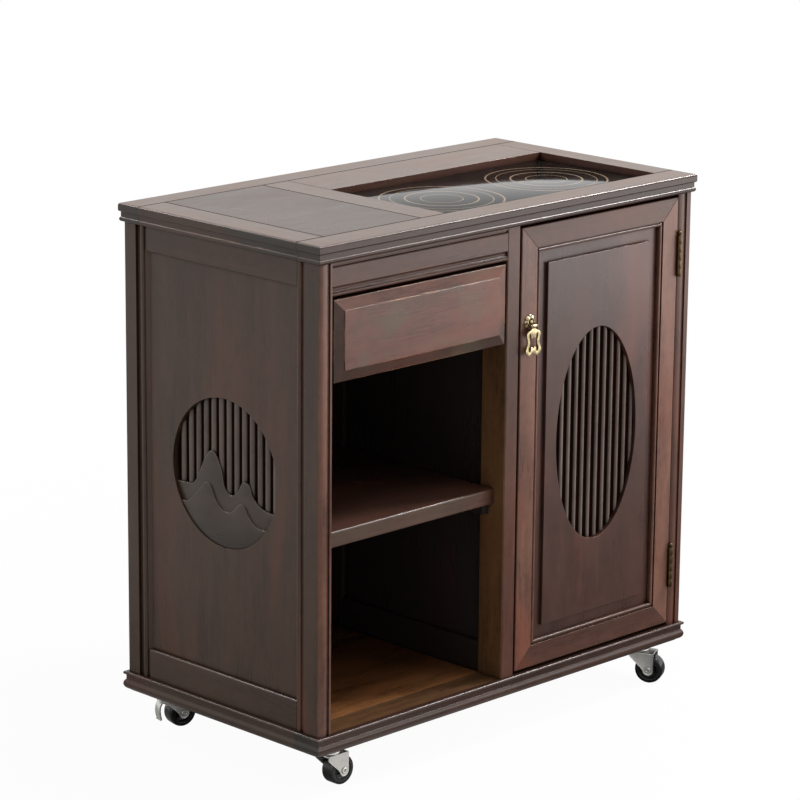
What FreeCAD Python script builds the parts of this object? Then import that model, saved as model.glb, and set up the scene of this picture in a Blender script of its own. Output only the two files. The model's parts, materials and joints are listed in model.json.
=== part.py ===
import FreeCAD, Part
import Sketcher
import math
import os
import re

# Tea table: a framed cabinet on casters with an open bay, a drawer and a door.
# Origin on the floor under the middle of the cabinet, X to the right, Y to the back, Z up.
# All sizes are millimetres.
SIZES = (
    # Top frame and the moulding round its edge
    ("top_length", 750.0),
    ("top_depth", 400.0),
    ("top_surface", 762.0),
    ("top_thick", 26.0),
    ("top_overhang", 5.5),
    ("top_band", 11.8),
    ("top_edge_round", 3.5),
    ("top_band_round", 2.0),
    ("top_notch", 2.8),
    ("top_bead", 3.5),
    ("top_bead_back", 1.0),
    ("top_front_rail_wide", 45.0),
    ("top_back_rail_wide", 41.5),
    ("top_left_stile_wide", 49.0),
    ("top_right_stile_wide", 40.7),
    ("top_mid_rail_wide", 47.0),
    ("top_panel_wide", 182.1),
    ("top_strip_deep", 88.0),
    ("top_panel_thick", 20.0),
    # Glass plate sunk in the top
    ("glass_sunk", 10.5),
    ("glass_thick", 5.0),
    ("glass_gap", 0.5),
    ("ledge_wide", 12.0),
    # Base frame and its moulding
    ("base_under", 59.0),
    ("base_thick", 28.5),
    ("base_overhang", 5.5),
    ("base_rail_wide", 50.0),
    ("base_lip", 2.5),
    ("base_notch", 3.2),
    ("base_notch_tall", 3.4),
    ("base_torus", 8.5),
    ("base_torus_foot", 1.5),
    ("floor_plank_gap", 0.4),
    # Corner posts
    ("post_deep", 45.0),
    ("post_wide_left", 22.5),
    ("post_wide_right", 26.0),
    ("post_round", 1.5),
    ("front_post_groove", 8.0),
    ("back_post_groove", 7.2),
    ("back_post_slope", 5.5),
    ("post_bead", 4.0),
    ("post_band", 17.0),
    ("post_strip", 9.4),
    ("post_quirk", 2.0),
    ("post_quirk_deep", 2.0),
    # Framed sides with a round window
    ("side_setback", 1.5),
    ("side_rail_thick", 20.0),
    ("side_top_rail", 35.7),
    ("side_bottom_rail", 42.5),
    ("side_rail_round", 3.0),
    ("side_panel_sunk", 8.0),
    ("side_panel_thick", 13.5),
    ("window_radius", 105.0),
    ("window_deep", 10.5),
    ("window_play", 0.2),
    ("side_slat_wide", 10.4),
    ("side_slat_pitch", 15.4),
    ("side_slat_rise", 4.0),
    ("hill_thick", 2.4),
    # Tongues that hold the panels in their frames
    ("tongue", 6.0),
    ("tongue_thick", 5.0),
    ("tongue_play", 0.5),
    # Back frame
    ("back_setback", 2.0),
    ("back_rail_thick", 20.0),
    ("back_rail_tall", 46.0),
    ("back_panel_thick", 10.0),
    # Divider between the open bay and the cupboard
    ("bay_wide", 332.7),
    ("divider_wide", 24.9),
    ("divider_post_deep", 45.0),
    ("divider_post_round", 2.0),
    ("divider_rail_tall", 45.0),
    ("divider_rail_setback", 1.5),
    ("divider_panel_thick", 10.0),
    # Shelf in the bay
    ("shelf_height", 252.7),
    ("shelf_thick", 22.6),
    ("shelf_setback", 20.6),
    ("shelf_round", 2.5),
    ("cleat_wide", 12.0),
    ("cleat_tall", 15.0),
    ("cleat_inset", 29.5),
    # Moulded rail over the drawer
    ("fascia_tall", 46.0),
    ("fascia_thick", 22.0),
    ("fascia_fillet", 2.7),
    ("fascia_quirk", 3.0),
    ("fascia_quirk_deep", 2.5),
    ("fascia_round", 2.5),
    ("fascia_cove", 8.0),
    ("fascia_cove_deep", 3.6),
    ("fascia_bead", 3.0),
    # Drawer
    ("drawer_gap_top", 4.3),
    ("drawer_gap_side", 3.6),
    ("drawer_front_tall", 111.7),
    ("drawer_front_thick", 20.0),
    ("drawer_front_back", 0.8),
    ("drawer_bevel", 15.4),
    ("drawer_rise", 5.4),
    ("drawer_step", 1.0),
    ("drawer_side_thick", 12.0),
    ("drawer_side_tall", 84.0),
    ("drawer_side_lift", 14.0),
    ("drawer_side_inset", 2.0),
    ("drawer_back_gap", 26.2),
    ("drawer_bottom_thick", 6.0),
    ("drawer_bottom_lift", 8.0),
    ("runner_wide", 22.0),
    ("runner_tall", 12.0),
    ("kicker_play", 0.4),
    # Door: mitred frame with a bead, raised panel with an oval window
    ("door_gap", 3.4),
    ("door_hinge_gap", 2.0),
    ("door_gap_top", 4.0),
    ("door_gap_bottom", 4.5),
    ("door_thick", 20.0),
    ("door_frame_wide", 38.2),
    ("door_round", 1.5),
    ("door_groove", 2.0),
    ("door_bead", 2.25),
    ("door_panel_sunk", 7.0),
    ("door_panel_rise", 5.0),
    ("door_panel_thick", 10.5),
    ("door_field_margin", 18.5),
    ("oval_deep", 9.0),
    ("door_slat_wide", 7.6),
    ("door_slat_pitch", 14.75),
    ("door_slat_rise", 4.0),
    # Hinges
    ("hinge_tall", 60.0),
    ("hinge_inset", 56.0),
    ("hinge_barrel", 3.25),
    ("hinge_pin", 1.5),
    ("hinge_leaf_deep", 19.0),
    ("hinge_leaf_gap", 0.1),
    ("hinge_knuckle_gap", 0.2),
    ("hinge_finial", 3.0),
    ("hinge_neck", 1.2),
    # Door pull: scalloped rosette and hanging openwork drop
    ("pull_from_edge", 17.0),
    ("pull_below_top", 134.0),
    ("rosette_radius", 7.8),
    ("rosette_lobe", 3.0),
    ("rosette_thick", 2.6),
    ("rosette_dome", 6.0),
    ("pull_standoff", 9.0),
    ("pull_hang", 5.0),
    ("pull_cheek", 1.8),
    ("pull_cheek_round", 2.8),
    ("pull_pin", 1.2),
    ("pull_barrel", 2.6),
    ("pull_barrel_wide", 7.0),
    ("pull_play", 0.2),
    ("drop_half_wide", 15.4),
    ("drop_tall", 43.0),
    ("drop_thick", 2.4),
    # Catch inside the door
    ("catch_from_edge", 16.0),
    ("catch_wide", 34.0),
    ("catch_deep", 13.0),
    ("catch_tall", 16.0),
    ("strike_thick", 1.5),
    ("catch_play", 0.3),
    # Casters
    ("caster_inset_long", 50.0),
    ("caster_inset_deep", 31.0),
    ("plate_long", 42.0),
    ("plate_wide", 38.0),
    ("plate_thick", 2.5),
    ("plate_round", 4.0),
    ("screw_inset", 6.0),
    ("screw_head", 3.2),
    ("screw_rise", 1.4),
    ("screw_shank", 1.6),
    ("kingpin", 4.0),
    ("kingpin_head", 6.0),
    ("kingpin_head_thick", 2.0),
    ("swivel_play", 0.06),
    ("swivel_seat", 0.3),
    ("race", 15.0),
    ("race_round", 2.5),
    ("crown_gap", 3.0),
    ("crown_thick", 2.5),
    ("crown_lead", 13.0),
    ("fork_plate", 2.0),
    ("fork_round", 8.0),
    ("fork_shoulder", 5.0),
    ("wheel_radius", 21.0),
    ("wheel_wide", 21.0),
    ("wheel_round", 1.8),
    ("wheel_rim", 4.5),
    ("wheel_web_sunk", 3.0),
    ("hub_wide", 22.6),
    ("hub_radius", 7.0),
    ("leg_gap", 1.2),
    ("trail", 16.0),
    ("axle", 3.0),
    ("axle_head", 4.6),
    ("axle_head_thick", 1.2),
    # Brake levers of the back casters
    ("brake_ahead", 9.5),
    ("brake_drop", 4.5),
    ("brake_eye", 3.0),
    ("brake_pin", 1.5),
    ("brake_wide", 13.0),
    ("brake_reach", 11.5),
    ("brake_fall", 27.0),
    ("brake_ear", 4.0),
    ("brake_play", 0.3),
    # Overrun that lets every cut pass its faces
    ("overrun", 2.0),
)

SIDE_SLATS = 13
DOOR_SLATS = 12
ROSETTE_LOBES = 8
FLOOR_PLANKS = 3

doc = FreeCAD.newDocument("TeaTable")
sheet = doc.addObject("Spreadsheet::Sheet", "Sizes")
for row, (word, number) in enumerate(SIZES, start=1):
    sheet.set("A%d" % row, word)
    sheet.set("B%d" % row, "%r" % number)
    sheet.setAlias("B%d" % row, word)
doc.recompute()

WORDS = re.compile(r"\b(" + "|".join(word for word, number in SIZES) + r")\b")
PLACES = {"x": "Placement.Base.x", "y": "Placement.Base.y", "z": "Placement.Base.z"}
SUBPARTS = []
UP = FreeCAD.Vector(0, 0, 1)
ALONG = FreeCAD.Vector(1, 0, 0)
ACROSS = FreeCAD.Vector(0, 1, 0)


def bound(text):
    """Expression text with every size name read from the sheet."""
    return WORDS.sub(r"Sizes.\1", text)


def value(text):
    """Number that an expression of size names gives."""
    return float(sheet.evalExpression(bound(text)))


def bind(thing, **texts):
    for name, text in texts.items():
        thing.setExpression(PLACES.get(name, name), bound(text))
    return thing


def turn(thing, axis, angle):
    thing.Placement = FreeCAD.Placement(FreeCAD.Vector(), FreeCAD.Rotation(axis, angle))
    return thing


def subpart(name, thing):
    """Marks an object as a finished piece under its own name."""
    thing.Label = name
    SUBPARTS.append(thing)
    return thing


def board(name, x, y, z):
    """Board between two places along each axis, given as pairs of expressions."""
    thing = doc.addObject("Part::Box", name)
    bind(thing, Length=f"({x[1]}) - ({x[0]})", Width=f"({y[1]}) - ({y[0]})")
    return bind(thing, Height=f"({z[1]}) - ({z[0]})", x=x[0], y=y[0], z=z[0])


def rod(name, radius, length, x="0", y="0", z="0", axis=None):
    """Round bar that starts at a place and runs up, or along another axis."""
    thing = doc.addObject("Part::Cylinder", name)
    if axis == "x":
        turn(thing, ACROSS, 90)
    elif axis == "y":
        turn(thing, ALONG, -90)
    return bind(thing, Radius=radius, Height=length, x=x, y=y, z=z)


def cut(name, base, tool):
    thing = doc.addObject("Part::Cut", name)
    thing.Base = base
    thing.Tool = tool
    return thing


def fuse(name, *things):
    joined = doc.addObject("Part::MultiFuse", name)
    joined.Shapes = list(things)
    return joined


def common(name, *things):
    shared = doc.addObject("Part::MultiCommon", name)
    shared.Shapes = list(things)
    return shared


def group(name, *things):
    gathered = doc.addObject("Part::Compound", name)
    gathered.Links = list(things)
    return gathered


def mirror(name, source, normal):
    thing = doc.addObject("Part::Mirroring", name)
    thing.Source = source
    thing.Base = FreeCAD.Vector()
    thing.Normal = normal
    return thing


def sketch_on(body, role, name):
    sketch = body.newObject("Sketcher::SketchObject", name)
    plane = [item for item in body.Origin.OriginFeatures if item.Role == role][0]
    sketch.AttachmentSupport = (plane, "")
    sketch.MapMode = "FlatFace"
    return sketch


def fix(sketch, item, point, x, y):
    """Ties a point of a sketch to expressions for its two places."""
    for kind, text in (("DistanceX", x), ("DistanceY", y)):
        rule = Sketcher.Constraint(kind, -1, 1, item, point, value(text))
        number = sketch.addConstraint(rule)
        sketch.setExpression("Constraints[%d]" % number, bound(text))


def outline(sketch, steps):
    """Closed outline. A step is (x, y) for a line to that point,
    or (x, y, centre_x, centre_y, way) for an arc, way 1 anticlockwise and -1 clockwise."""
    points = [FreeCAD.Vector(value(step[0]), value(step[1]), 0) for step in steps]
    ends = []
    for number, step in enumerate(steps):
        start, end = points[number - 1], points[number]
        if len(step) == 2:
            ends.append((sketch.addGeometry(Part.LineSegment(start, end), False), 1, 2))
            continue
        centre = FreeCAD.Vector(value(step[2]), value(step[3]), 0)
        first, last = (start, end) if step[4] > 0 else (end, start)
        low = math.atan2(first.y - centre.y, first.x - centre.x)
        high = math.atan2(last.y - centre.y, last.x - centre.x)
        if high <= low:
            high += 2 * math.pi
        circle = Part.Circle(centre, UP, (start - centre).Length)
        item = sketch.addGeometry(Part.ArcOfCircle(circle, low, high), False)
        ends.append((item, 1, 2) if step[4] > 0 else (item, 2, 1))
    for number, step in enumerate(steps):
        before = ends[number - 1]
        here = ends[number]
        sketch.addConstraint(Sketcher.Constraint("Coincident", before[0], before[2], here[0], here[1]))
    for number, step in enumerate(steps):
        item, first, last = ends[number]
        fix(sketch, item, last, step[0], step[1])
        if len(step) == 5:
            chord = points[number] - points[number - 1]
            kind, text = ("DistanceY", step[3]) if abs(chord.x) > abs(chord.y) else ("DistanceX", step[2])
            place = sketch.addConstraint(Sketcher.Constraint(kind, -1, 1, item, 3, value(text)))
            sketch.setExpression("Constraints[%d]" % place, bound(text))


def bar(name, role, steps, length, back=False, middle=False):
    """Moulded bar: an outline on one of its own planes, drawn out to a length."""
    body = doc.addObject("PartDesign::Body", name)
    sketch = sketch_on(body, role, name + "_outline")
    outline(sketch, steps)
    pad = body.newObject("PartDesign::Pad", name + "_pad")
    pad.Profile = sketch
    pad.Reversed = back
    if middle:
        pad.SideType = "Symmetric"
    bind(pad, Length=length)
    return body


# Places that several pieces share
BODY_X = "(top_length / 2 - top_overhang)"
BODY_Y = "(top_depth / 2 - top_overhang)"
FLOOR = "(base_under + base_thick)"
UNDER_TOP = "(top_surface - top_thick)"
CASE_TALL = f"({UNDER_TOP} - {FLOOR})"
LEFT_IN = f"(post_wide_left - {BODY_X})"
RIGHT_IN = f"({BODY_X} - post_wide_right)"
FRONT_IN = f"(post_deep - {BODY_Y})"
BACK_IN = f"({BODY_Y} - post_deep)"
DIVIDER_L = f"({LEFT_IN} + bay_wide)"
DIVIDER_R = f"({DIVIDER_L} + divider_wide)"
BACK_FACE = f"({BODY_Y} - back_setback - back_rail_thick)"

# Edge moulding of the top, drawn along both directions and crossed, which mitres its corners
half_long = "top_length / 2"
half_deep = "top_depth / 2"


def top_edge(half):
    """Half of the top's section, from the middle to the moulded edge, turned about the middle."""
    centre = f"top_bead_back + top_bead"
    cross = f"sqrt(top_bead * top_bead - ({centre} - top_notch) * ({centre} - top_notch))"
    low = UNDER_TOP
    steps = []
    for side in (1, -1):
        def across(text):
            return f"{side} * ({half} - ({text}))"
        run = [
            (across("top_bead_back + top_bead"), low),
            (across("top_notch"), f"{low} + top_bead + {cross}",
             across(centre), f"{low} + top_bead", side),
            (across("top_notch"), "top_surface - top_band"),
            (across("top_band_round"), "top_surface - top_band"),
            (across("0"), "top_surface - top_band + top_band_round",
             across("top_band_round"), "top_surface - top_band + top_band_round", side),
            (across("0"), "top_surface - top_edge_round"),
            (across("top_edge_round"), "top_surface",
             across("top_edge_round"), "top_surface - top_edge_round", side),
        ]
        if side == -1:
            points = [step[:2] for step in run]
            back = [points[-1]]
            for number in range(len(run) - 1, 0, -1):
                step = run[number]
                if len(step) == 5:
                    back.append(points[number - 1] + (step[2], step[3], 1))
                else:
                    back.append(points[number - 1])
            run = back
        steps += run
    return steps


top_blank_long = bar("top_blank_long", "YZ_Plane", top_edge(half_deep), "top_length", middle=True)
top_blank_deep = bar("top_blank_deep", "XZ_Plane", top_edge(half_long), "top_depth", middle=True)


def moulded(name, x, y):
    """Board of the top whose outer edges carry the moulding."""
    plain = board(name + "_board", x, y, (UNDER_TOP, "top_surface"))
    return subpart(name, common(name, plain, top_blank_long, top_blank_deep))


TOP_FRONT = "(top_front_rail_wide - top_depth / 2)"
TOP_BACK = "(top_depth / 2 - top_back_rail_wide)"
TOP_LEFT = "(top_left_stile_wide - top_length / 2)"
TOP_RIGHT = "(top_length / 2 - top_right_stile_wide)"
PANEL_END = f"({TOP_LEFT} + top_panel_wide)"
WELL_LEFT = f"({PANEL_END} + top_mid_rail_wide)"
WELL_BACK = f"({TOP_BACK} - top_strip_deep)"
ENDS_LONG = ("-top_length / 2", "top_length / 2")
moulded("top_front_rail", ENDS_LONG, ("-top_depth / 2", TOP_FRONT))
moulded("top_back_rail", ENDS_LONG, (TOP_BACK, "top_depth / 2"))
moulded("top_left_stile", ("-top_length / 2", TOP_LEFT), (TOP_FRONT, TOP_BACK))
moulded("top_right_stile", (TOP_RIGHT, "top_length / 2"), (TOP_FRONT, TOP_BACK))
PANEL_Z = ("top_surface - top_panel_thick", "top_surface")
mid_rail = board("top_mid_rail", (PANEL_END, WELL_LEFT), (TOP_FRONT, TOP_BACK), (UNDER_TOP, "top_surface"))
subpart("top_mid_rail", mid_rail)
subpart("top_left_panel", board("top_left_panel", (TOP_LEFT, PANEL_END), (TOP_FRONT, TOP_BACK), PANEL_Z))
strip = board("top_back_strip", (WELL_LEFT, TOP_RIGHT), (WELL_BACK, TOP_BACK), (UNDER_TOP, "top_surface"))
subpart("top_back_strip", strip)

# Glass plate on ledger strips inside the well
GLASS_TOP = "(top_surface - glass_sunk)"
GLASS_LOW = f"({GLASS_TOP} - glass_thick)"
LEDGE_Z = (UNDER_TOP, GLASS_LOW)
ledge_front = board("ledge_front", (WELL_LEFT, TOP_RIGHT), (TOP_FRONT, f"{TOP_FRONT} + ledge_wide"),
                    LEDGE_Z)
ledge_back = board("ledge_back", (WELL_LEFT, TOP_RIGHT), (f"{WELL_BACK} - ledge_wide", WELL_BACK), LEDGE_Z)
LEDGE_Y = (f"{TOP_FRONT} + ledge_wide", f"{WELL_BACK} - ledge_wide")
ledge_left = board("ledge_left", (WELL_LEFT, f"{WELL_LEFT} + ledge_wide"), LEDGE_Y, LEDGE_Z)
ledge_right = board("ledge_right", (f"{TOP_RIGHT} - ledge_wide", TOP_RIGHT), LEDGE_Y, LEDGE_Z)
subpart("stove_ledges", group("stove_ledges", ledge_front, ledge_back, ledge_left, ledge_right))
GLASS_X = (f"{WELL_LEFT} + glass_gap", f"{TOP_RIGHT} - glass_gap")
GLASS_Y = (f"{TOP_FRONT} + glass_gap", f"{WELL_BACK} - glass_gap")
subpart("stove_plate", board("stove_plate", GLASS_X, GLASS_Y, (GLASS_LOW, GLASS_TOP)))

# Base frame, moulded round its edge in the same way
BASE_X = f"({BODY_X} + base_overhang)"
BASE_Y = f"({BODY_Y} + base_overhang)"


def base_edge(half):
    """Section of the base board with a lip, a notch and a large round."""
    lip_low = f"({FLOOR} - 2 * base_lip)"
    middle = "(base_under + base_torus_foot + base_torus)"
    cross = "sqrt(base_torus * base_torus - (base_torus - base_notch) * (base_torus - base_notch))"
    steps = []
    for side in (1, -1):
        def across(text):
            return f"{side} * ({half} - ({text}))"
        run = [
            (across("base_torus"), "base_under"),
            (across("base_torus"), "base_under + base_torus_foot"),
            (across("base_notch"), f"{middle} + {cross}", across("base_torus"), middle, side),
            (across("base_notch"), lip_low),
            (across("base_lip"), lip_low),
            (across("base_lip"), FLOOR, across("base_lip"), f"{FLOOR} - base_lip", side),
        ]
        if side == -1:
            points = [step[:2] for step in run]
            back = [points[-1]]
            for number in range(len(run) - 1, 0, -1):
                step = run[number]
                arc = (step[2], step[3], 1) if len(step) == 5 else ()
                back.append(points[number - 1] + arc)
            run = back
        steps += run
    return steps


base_blank_long = bar("base_blank_long", "YZ_Plane", base_edge(BASE_Y), f"2 * {BASE_X}", middle=True)
base_blank_deep = bar("base_blank_deep", "XZ_Plane", base_edge(BASE_X), f"2 * {BASE_Y}", middle=True)
BASE_Z = ("base_under", FLOOR)
BASE_IN_X = f"({BASE_X} - base_rail_wide)"
BASE_IN_Y = f"({BASE_Y} - base_rail_wide)"
BASE_ENDS = (f"-{BASE_X}", BASE_X)
base_front_board = board("base_front_board", BASE_ENDS, (f"-{BASE_Y}", f"-{BASE_IN_Y}"), BASE_Z)
subpart("base_front", common("base_front", base_front_board, base_blank_long, base_blank_deep))
base_back_board = board("base_back_board", BASE_ENDS, (BASE_IN_Y, BASE_Y), BASE_Z)
subpart("base_back", common("base_back", base_back_board, base_blank_long, base_blank_deep))
base_end_boards = []
for side, places in (("left", (f"-{BASE_X}", f"-{BASE_IN_X}")), ("right", (BASE_IN_X, BASE_X))):
    plain = board(f"base_{side}_board", places, (f"-{BASE_IN_Y}", BASE_IN_Y), BASE_Z)
    base_end_boards.append(common(f"base_{side}", plain, base_blank_long, base_blank_deep))
base_end_boards.append(board("base_middle", (DIVIDER_L, DIVIDER_R), (f"-{BASE_IN_Y}", BASE_IN_Y), BASE_Z))
subpart("base_cross_rails", group("base_cross_rails", *base_end_boards))
planks = []
PLANK = f"((2 * {BASE_IN_Y} - {FLOOR_PLANKS - 1} * floor_plank_gap) / {FLOOR_PLANKS})"
for number in range(FLOOR_PLANKS):
    near = f"{number} * ({PLANK} + floor_plank_gap) - {BASE_IN_Y}"
    far = f"{near} + {PLANK}"
    for side, places in (("bay", (f"-{BASE_IN_X}", DIVIDER_L)), ("cupboard", (DIVIDER_R, BASE_IN_X))):
        planks.append(board(f"{side}_plank_{number + 1}", places, (near, far), BASE_Z))
subpart("floor_boards", group("floor_boards", *planks))

# Corner posts. The side face has a groove and a bead, and a back post slopes from its bead to
# the panel; the front face has a rounded band (left) or a strip and a rounded band (right).
DEEP_SQUARED = "post_quirk_deep * post_quirk_deep"
BULGE = f"((post_band * post_band / 4 + {DEEP_SQUARED}) / (2 * post_quirk_deep))"
RIGHT_BAND = "(post_wide_right - post_strip - post_quirk)"
BULGE_RIGHT = f"(({RIGHT_BAND} * {RIGHT_BAND} / 4 + {DEEP_SQUARED}) / (2 * post_quirk_deep))"


def side_face(groove, slope):
    """Side of a post, from its panel out to its corner."""
    bead_in = f"(post_deep - {slope})"
    bead_out = f"({bead_in} - 2 * post_bead)"
    flat_in = f"({bead_out} - {groove})"
    foot = [] if slope == "0" else [("side_panel_sunk", "post_deep")]
    return foot + [
        ("post_bead", bead_in),
        ("post_bead", bead_out, "post_bead", f"{bead_out} + post_bead", 1),
        ("post_bead", flat_in),
        ("0", flat_in),
    ]


FRONT_SIDE = side_face("front_post_groove", "0")
BACK_SIDE = side_face("back_post_groove", "back_post_slope")
left_face = [
    ("0", "post_quirk_deep"),
    ("post_band", "post_quirk_deep", "post_band / 2", BULGE, 1),
    ("post_band + post_quirk", "post_quirk_deep"),
    ("post_band + post_quirk", "0"),
    ("post_wide_left", "0"),
    ("post_wide_left", "post_deep"),
]
right_face = [
    ("0", "post_round"),
    ("post_round", "0", "post_round", "post_round", 1),
    ("post_strip", "0"),
    ("post_strip", "post_quirk_deep"),
    ("post_strip + post_quirk", "post_quirk_deep"),
    ("post_wide_right", "post_quirk_deep", f"post_wide_right - {RIGHT_BAND} / 2", BULGE_RIGHT, 1),
    ("post_wide_right", "post_deep"),
]


def post(name, steps):
    """Post in the front left corner; the other corners mirror it."""
    body = bar(name, "XY_Plane", steps, CASE_TALL)
    return bind(body, x=f"-{BODY_X}", y=f"-{BODY_Y}", z=FLOOR)


post_left = post("post_left", FRONT_SIDE + left_face)
post_right = post("post_right", FRONT_SIDE + right_face)
post_back = post("post_back", BACK_SIDE + left_face)
post_far = post("post_far", BACK_SIDE + right_face)


def tongued(name, x, y, z, thick_along):
    """Panel with a tongue all round, and the groove that its frame gets."""
    places = {"x": x, "y": y, "z": z}
    tongue, groove = {}, {}
    for axis, (low, high) in places.items():
        if axis == thick_along:
            inset = f"(({high}) - ({low}) - tongue_thick) / 2"
            tongue[axis] = groove[axis] = (f"{low} + {inset}", f"{high} - {inset}")
        else:
            tongue[axis] = (f"{low} - tongue", f"{high} + tongue")
            groove[axis] = (f"{low} - tongue - tongue_play", f"{high} + tongue + tongue_play")
    main = board(name + "_main", x, y, z)
    edge = board(name + "_tongue", tongue["x"], tongue["y"], tongue["z"])
    room = board(name + "_groove", groove["x"], groove["y"], groove["z"])
    return fuse(name + "_blank", main, edge), room


# Framed side with a round window, made once on the left
SIDE_FACE_X = f"(side_setback - {BODY_X})"
SIDE_IN_X = f"({SIDE_FACE_X} + side_rail_thick)"
SIDE_TOP_Z = f"({UNDER_TOP} - side_top_rail)"
SIDE_LOW_Z = f"({FLOOR} + side_bottom_rail)"
PANEL_FACE = f"(side_panel_sunk - {BODY_X})"
PANEL_X = (PANEL_FACE, f"{PANEL_FACE} + side_panel_thick")
side_blank, side_room = tongued("side_panel", PANEL_X, (FRONT_IN, BACK_IN), (SIDE_LOW_Z, SIDE_TOP_Z), "x")
top_rail_steps = [
    ("side_rail_thick", "0"),
    ("side_rail_thick", "side_top_rail"),
    ("0", "side_top_rail"),
    ("0", "side_rail_round"),
    ("side_rail_round", "0", "side_rail_round", "side_rail_round", 1),
]
low_rail_steps = [
    ("side_rail_thick", "0"),
    ("side_rail_thick", "side_bottom_rail"),
    ("side_rail_round", "side_bottom_rail"),
    ("0", "side_bottom_rail - side_rail_round", "side_rail_round", "side_bottom_rail - side_rail_round", 1),
    ("0", "0"),
]
side_top = bar("side_top_rail_bar", "XZ_Plane", top_rail_steps, f"{BACK_IN} - {FRONT_IN}", middle=True)
bind(side_top, x=SIDE_FACE_X, z=SIDE_TOP_Z)
side_low = bar("side_low_rail_bar", "XZ_Plane", low_rail_steps, f"{BACK_IN} - {FRONT_IN}", middle=True)
bind(side_low, x=SIDE_FACE_X, z=FLOOR)
side_rails = subpart("side_left_rails", cut("side_left_rails",
                                            group("side_rail_pair", side_top, side_low), side_room))
subpart("side_right_rails", mirror("side_right_rails", side_rails, ALONG))
WINDOW_Z = f"(({SIDE_LOW_Z} + {SIDE_TOP_Z}) / 2)"
window_room = rod("window_room", "window_radius", "window_deep + overrun", f"{PANEL_FACE} - overrun",
                  "0", WINDOW_Z, "x")
side_panel = subpart("side_left_panel", cut("side_left_panel", side_blank, window_room))
subpart("side_right_panel", mirror("side_right_panel", side_panel, ALONG))

# Half-round slats of the round window, cut to its circle
WINDOW_FLOOR = f"({PANEL_FACE} + window_deep)"


def slat_run(name, wide, rise, pitch, count, tall, role):
    """Row of half-round slats side by side about the middle of their plane."""
    arc = f"(({wide}) * ({wide}) / 4 + ({rise}) * ({rise})) / (2 * ({rise}))"
    first = f"-{(count - 1) / 2} * {pitch}"
    steps = [
        (f"{first} + {wide} / 2", "0"),
        (f"{first} - {wide} / 2", "0", first, f"{rise} - {arc}", 1),
    ]
    body = bar(name, role, steps, tall, middle=True)
    row = body.newObject("PartDesign::LinearPattern", name + "_row")
    row.Originals = [body.Tip]
    row.Direction = (body.Group[0], ["H_Axis"])
    row.Occurrences = count
    bind(row, Length=f"{count - 1} * {pitch}")
    body.Tip = row
    return body


side_row = slat_run("side_slat_row", "side_slat_wide", "side_slat_rise", "side_slat_pitch", SIDE_SLATS,
                    "2 * window_radius", "XY_Plane")
side_row.Placement = FreeCAD.Placement(FreeCAD.Vector(), FreeCAD.Rotation(UP, 90))
bind(side_row, x=WINDOW_FLOOR, z=WINDOW_Z)
window_disc = rod("window_disc", "window_radius - window_play", "side_panel_thick",
                  f"{PANEL_FACE} - hill_thick", "0", WINDOW_Z, "x")
side_slats = subpart("side_left_slats", common("side_left_slats", side_row, window_disc))
subpart("side_right_slats", mirror("side_right_slats", side_slats, ALONG))

# Two layers of hills over the slats: shares of the window radius, from back to front of the cabinet
FAR_HILL_SHARES = (
    (1.02, -0.28), (0.89, -0.285), (0.78, -0.28), (0.665, -0.265), (0.555, -0.14), (0.475, 0.02),
    (0.37, 0.19), (0.29, 0.245), (0.225, 0.215), (0.165, 0.13), (0.1, 0), (0.06, -0.17),
    (0.005, -0.25), (-0.1, -0.28), (-0.23, -0.18), (-0.33, -0.06), (-0.42, -0.085), (-0.48, -0.2),
    (-0.57, -0.29), (-0.67, -0.345), (-0.8, -0.37), (-1.02, -0.38),
)
NEAR_HILL_SHARES = (
    (1.02, -0.51), (0.89, -0.52), (0.76, -0.525), (0.66, -0.46), (0.56, -0.365), (0.46, -0.26),
    (0.38, -0.195), (0.315, -0.205), (0.25, -0.3), (0.18, -0.41), (0.095, -0.485), (-0.08, -0.51),
    (-0.21, -0.41), (-0.28, -0.36), (-0.345, -0.375), (-0.41, -0.455), (-0.5, -0.55),
    (-0.605, -0.605), (-0.735, -0.615), (-0.88, -0.62), (-1.02, -0.62),
)


def hill(name, shares, low):
    """Plate whose top edge follows the shares and whose foot is the window's circle."""
    radius = value("window_radius")
    height = value(WINDOW_Z)
    curve = Part.BSplineCurve()
    curve.interpolate([FreeCAD.Vector(0, y * radius, height + z * radius) for y, z in shares])
    start, end = curve.StartPoint, curve.EndPoint
    foot = height - radius - value("overrun")
    down = Part.makePolygon([end, FreeCAD.Vector(0, end.y, foot), FreeCAD.Vector(0, start.y, foot), start])
    face = Part.Face(Part.Wire([curve.toShape()] + down.Edges))
    disc = Part.makeCylinder(radius - value("window_play"), 4 * value("hill_thick"),
                             FreeCAD.Vector(-value("hill_thick"), 0, height), ALONG)
    shape = face.extrude(FreeCAD.Vector(value("hill_thick"), 0, 0)).common(disc)
    thing = doc.addObject("Part::Feature", name)
    thing.Shape = shape
    return bind(thing, x=low)


HILL_BACK = f"({WINDOW_FLOOR} - side_slat_rise)"
doc.recompute()
far_hill = hill("far_hill", FAR_HILL_SHARES, f"{HILL_BACK} - hill_thick")
near_hill = hill("near_hill", NEAR_HILL_SHARES, f"{HILL_BACK} - 2 * hill_thick")
side_hills = subpart("side_left_hills", group("side_left_hills", far_hill, near_hill))
subpart("side_right_hills", mirror("side_right_hills", side_hills, ALONG))

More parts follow.
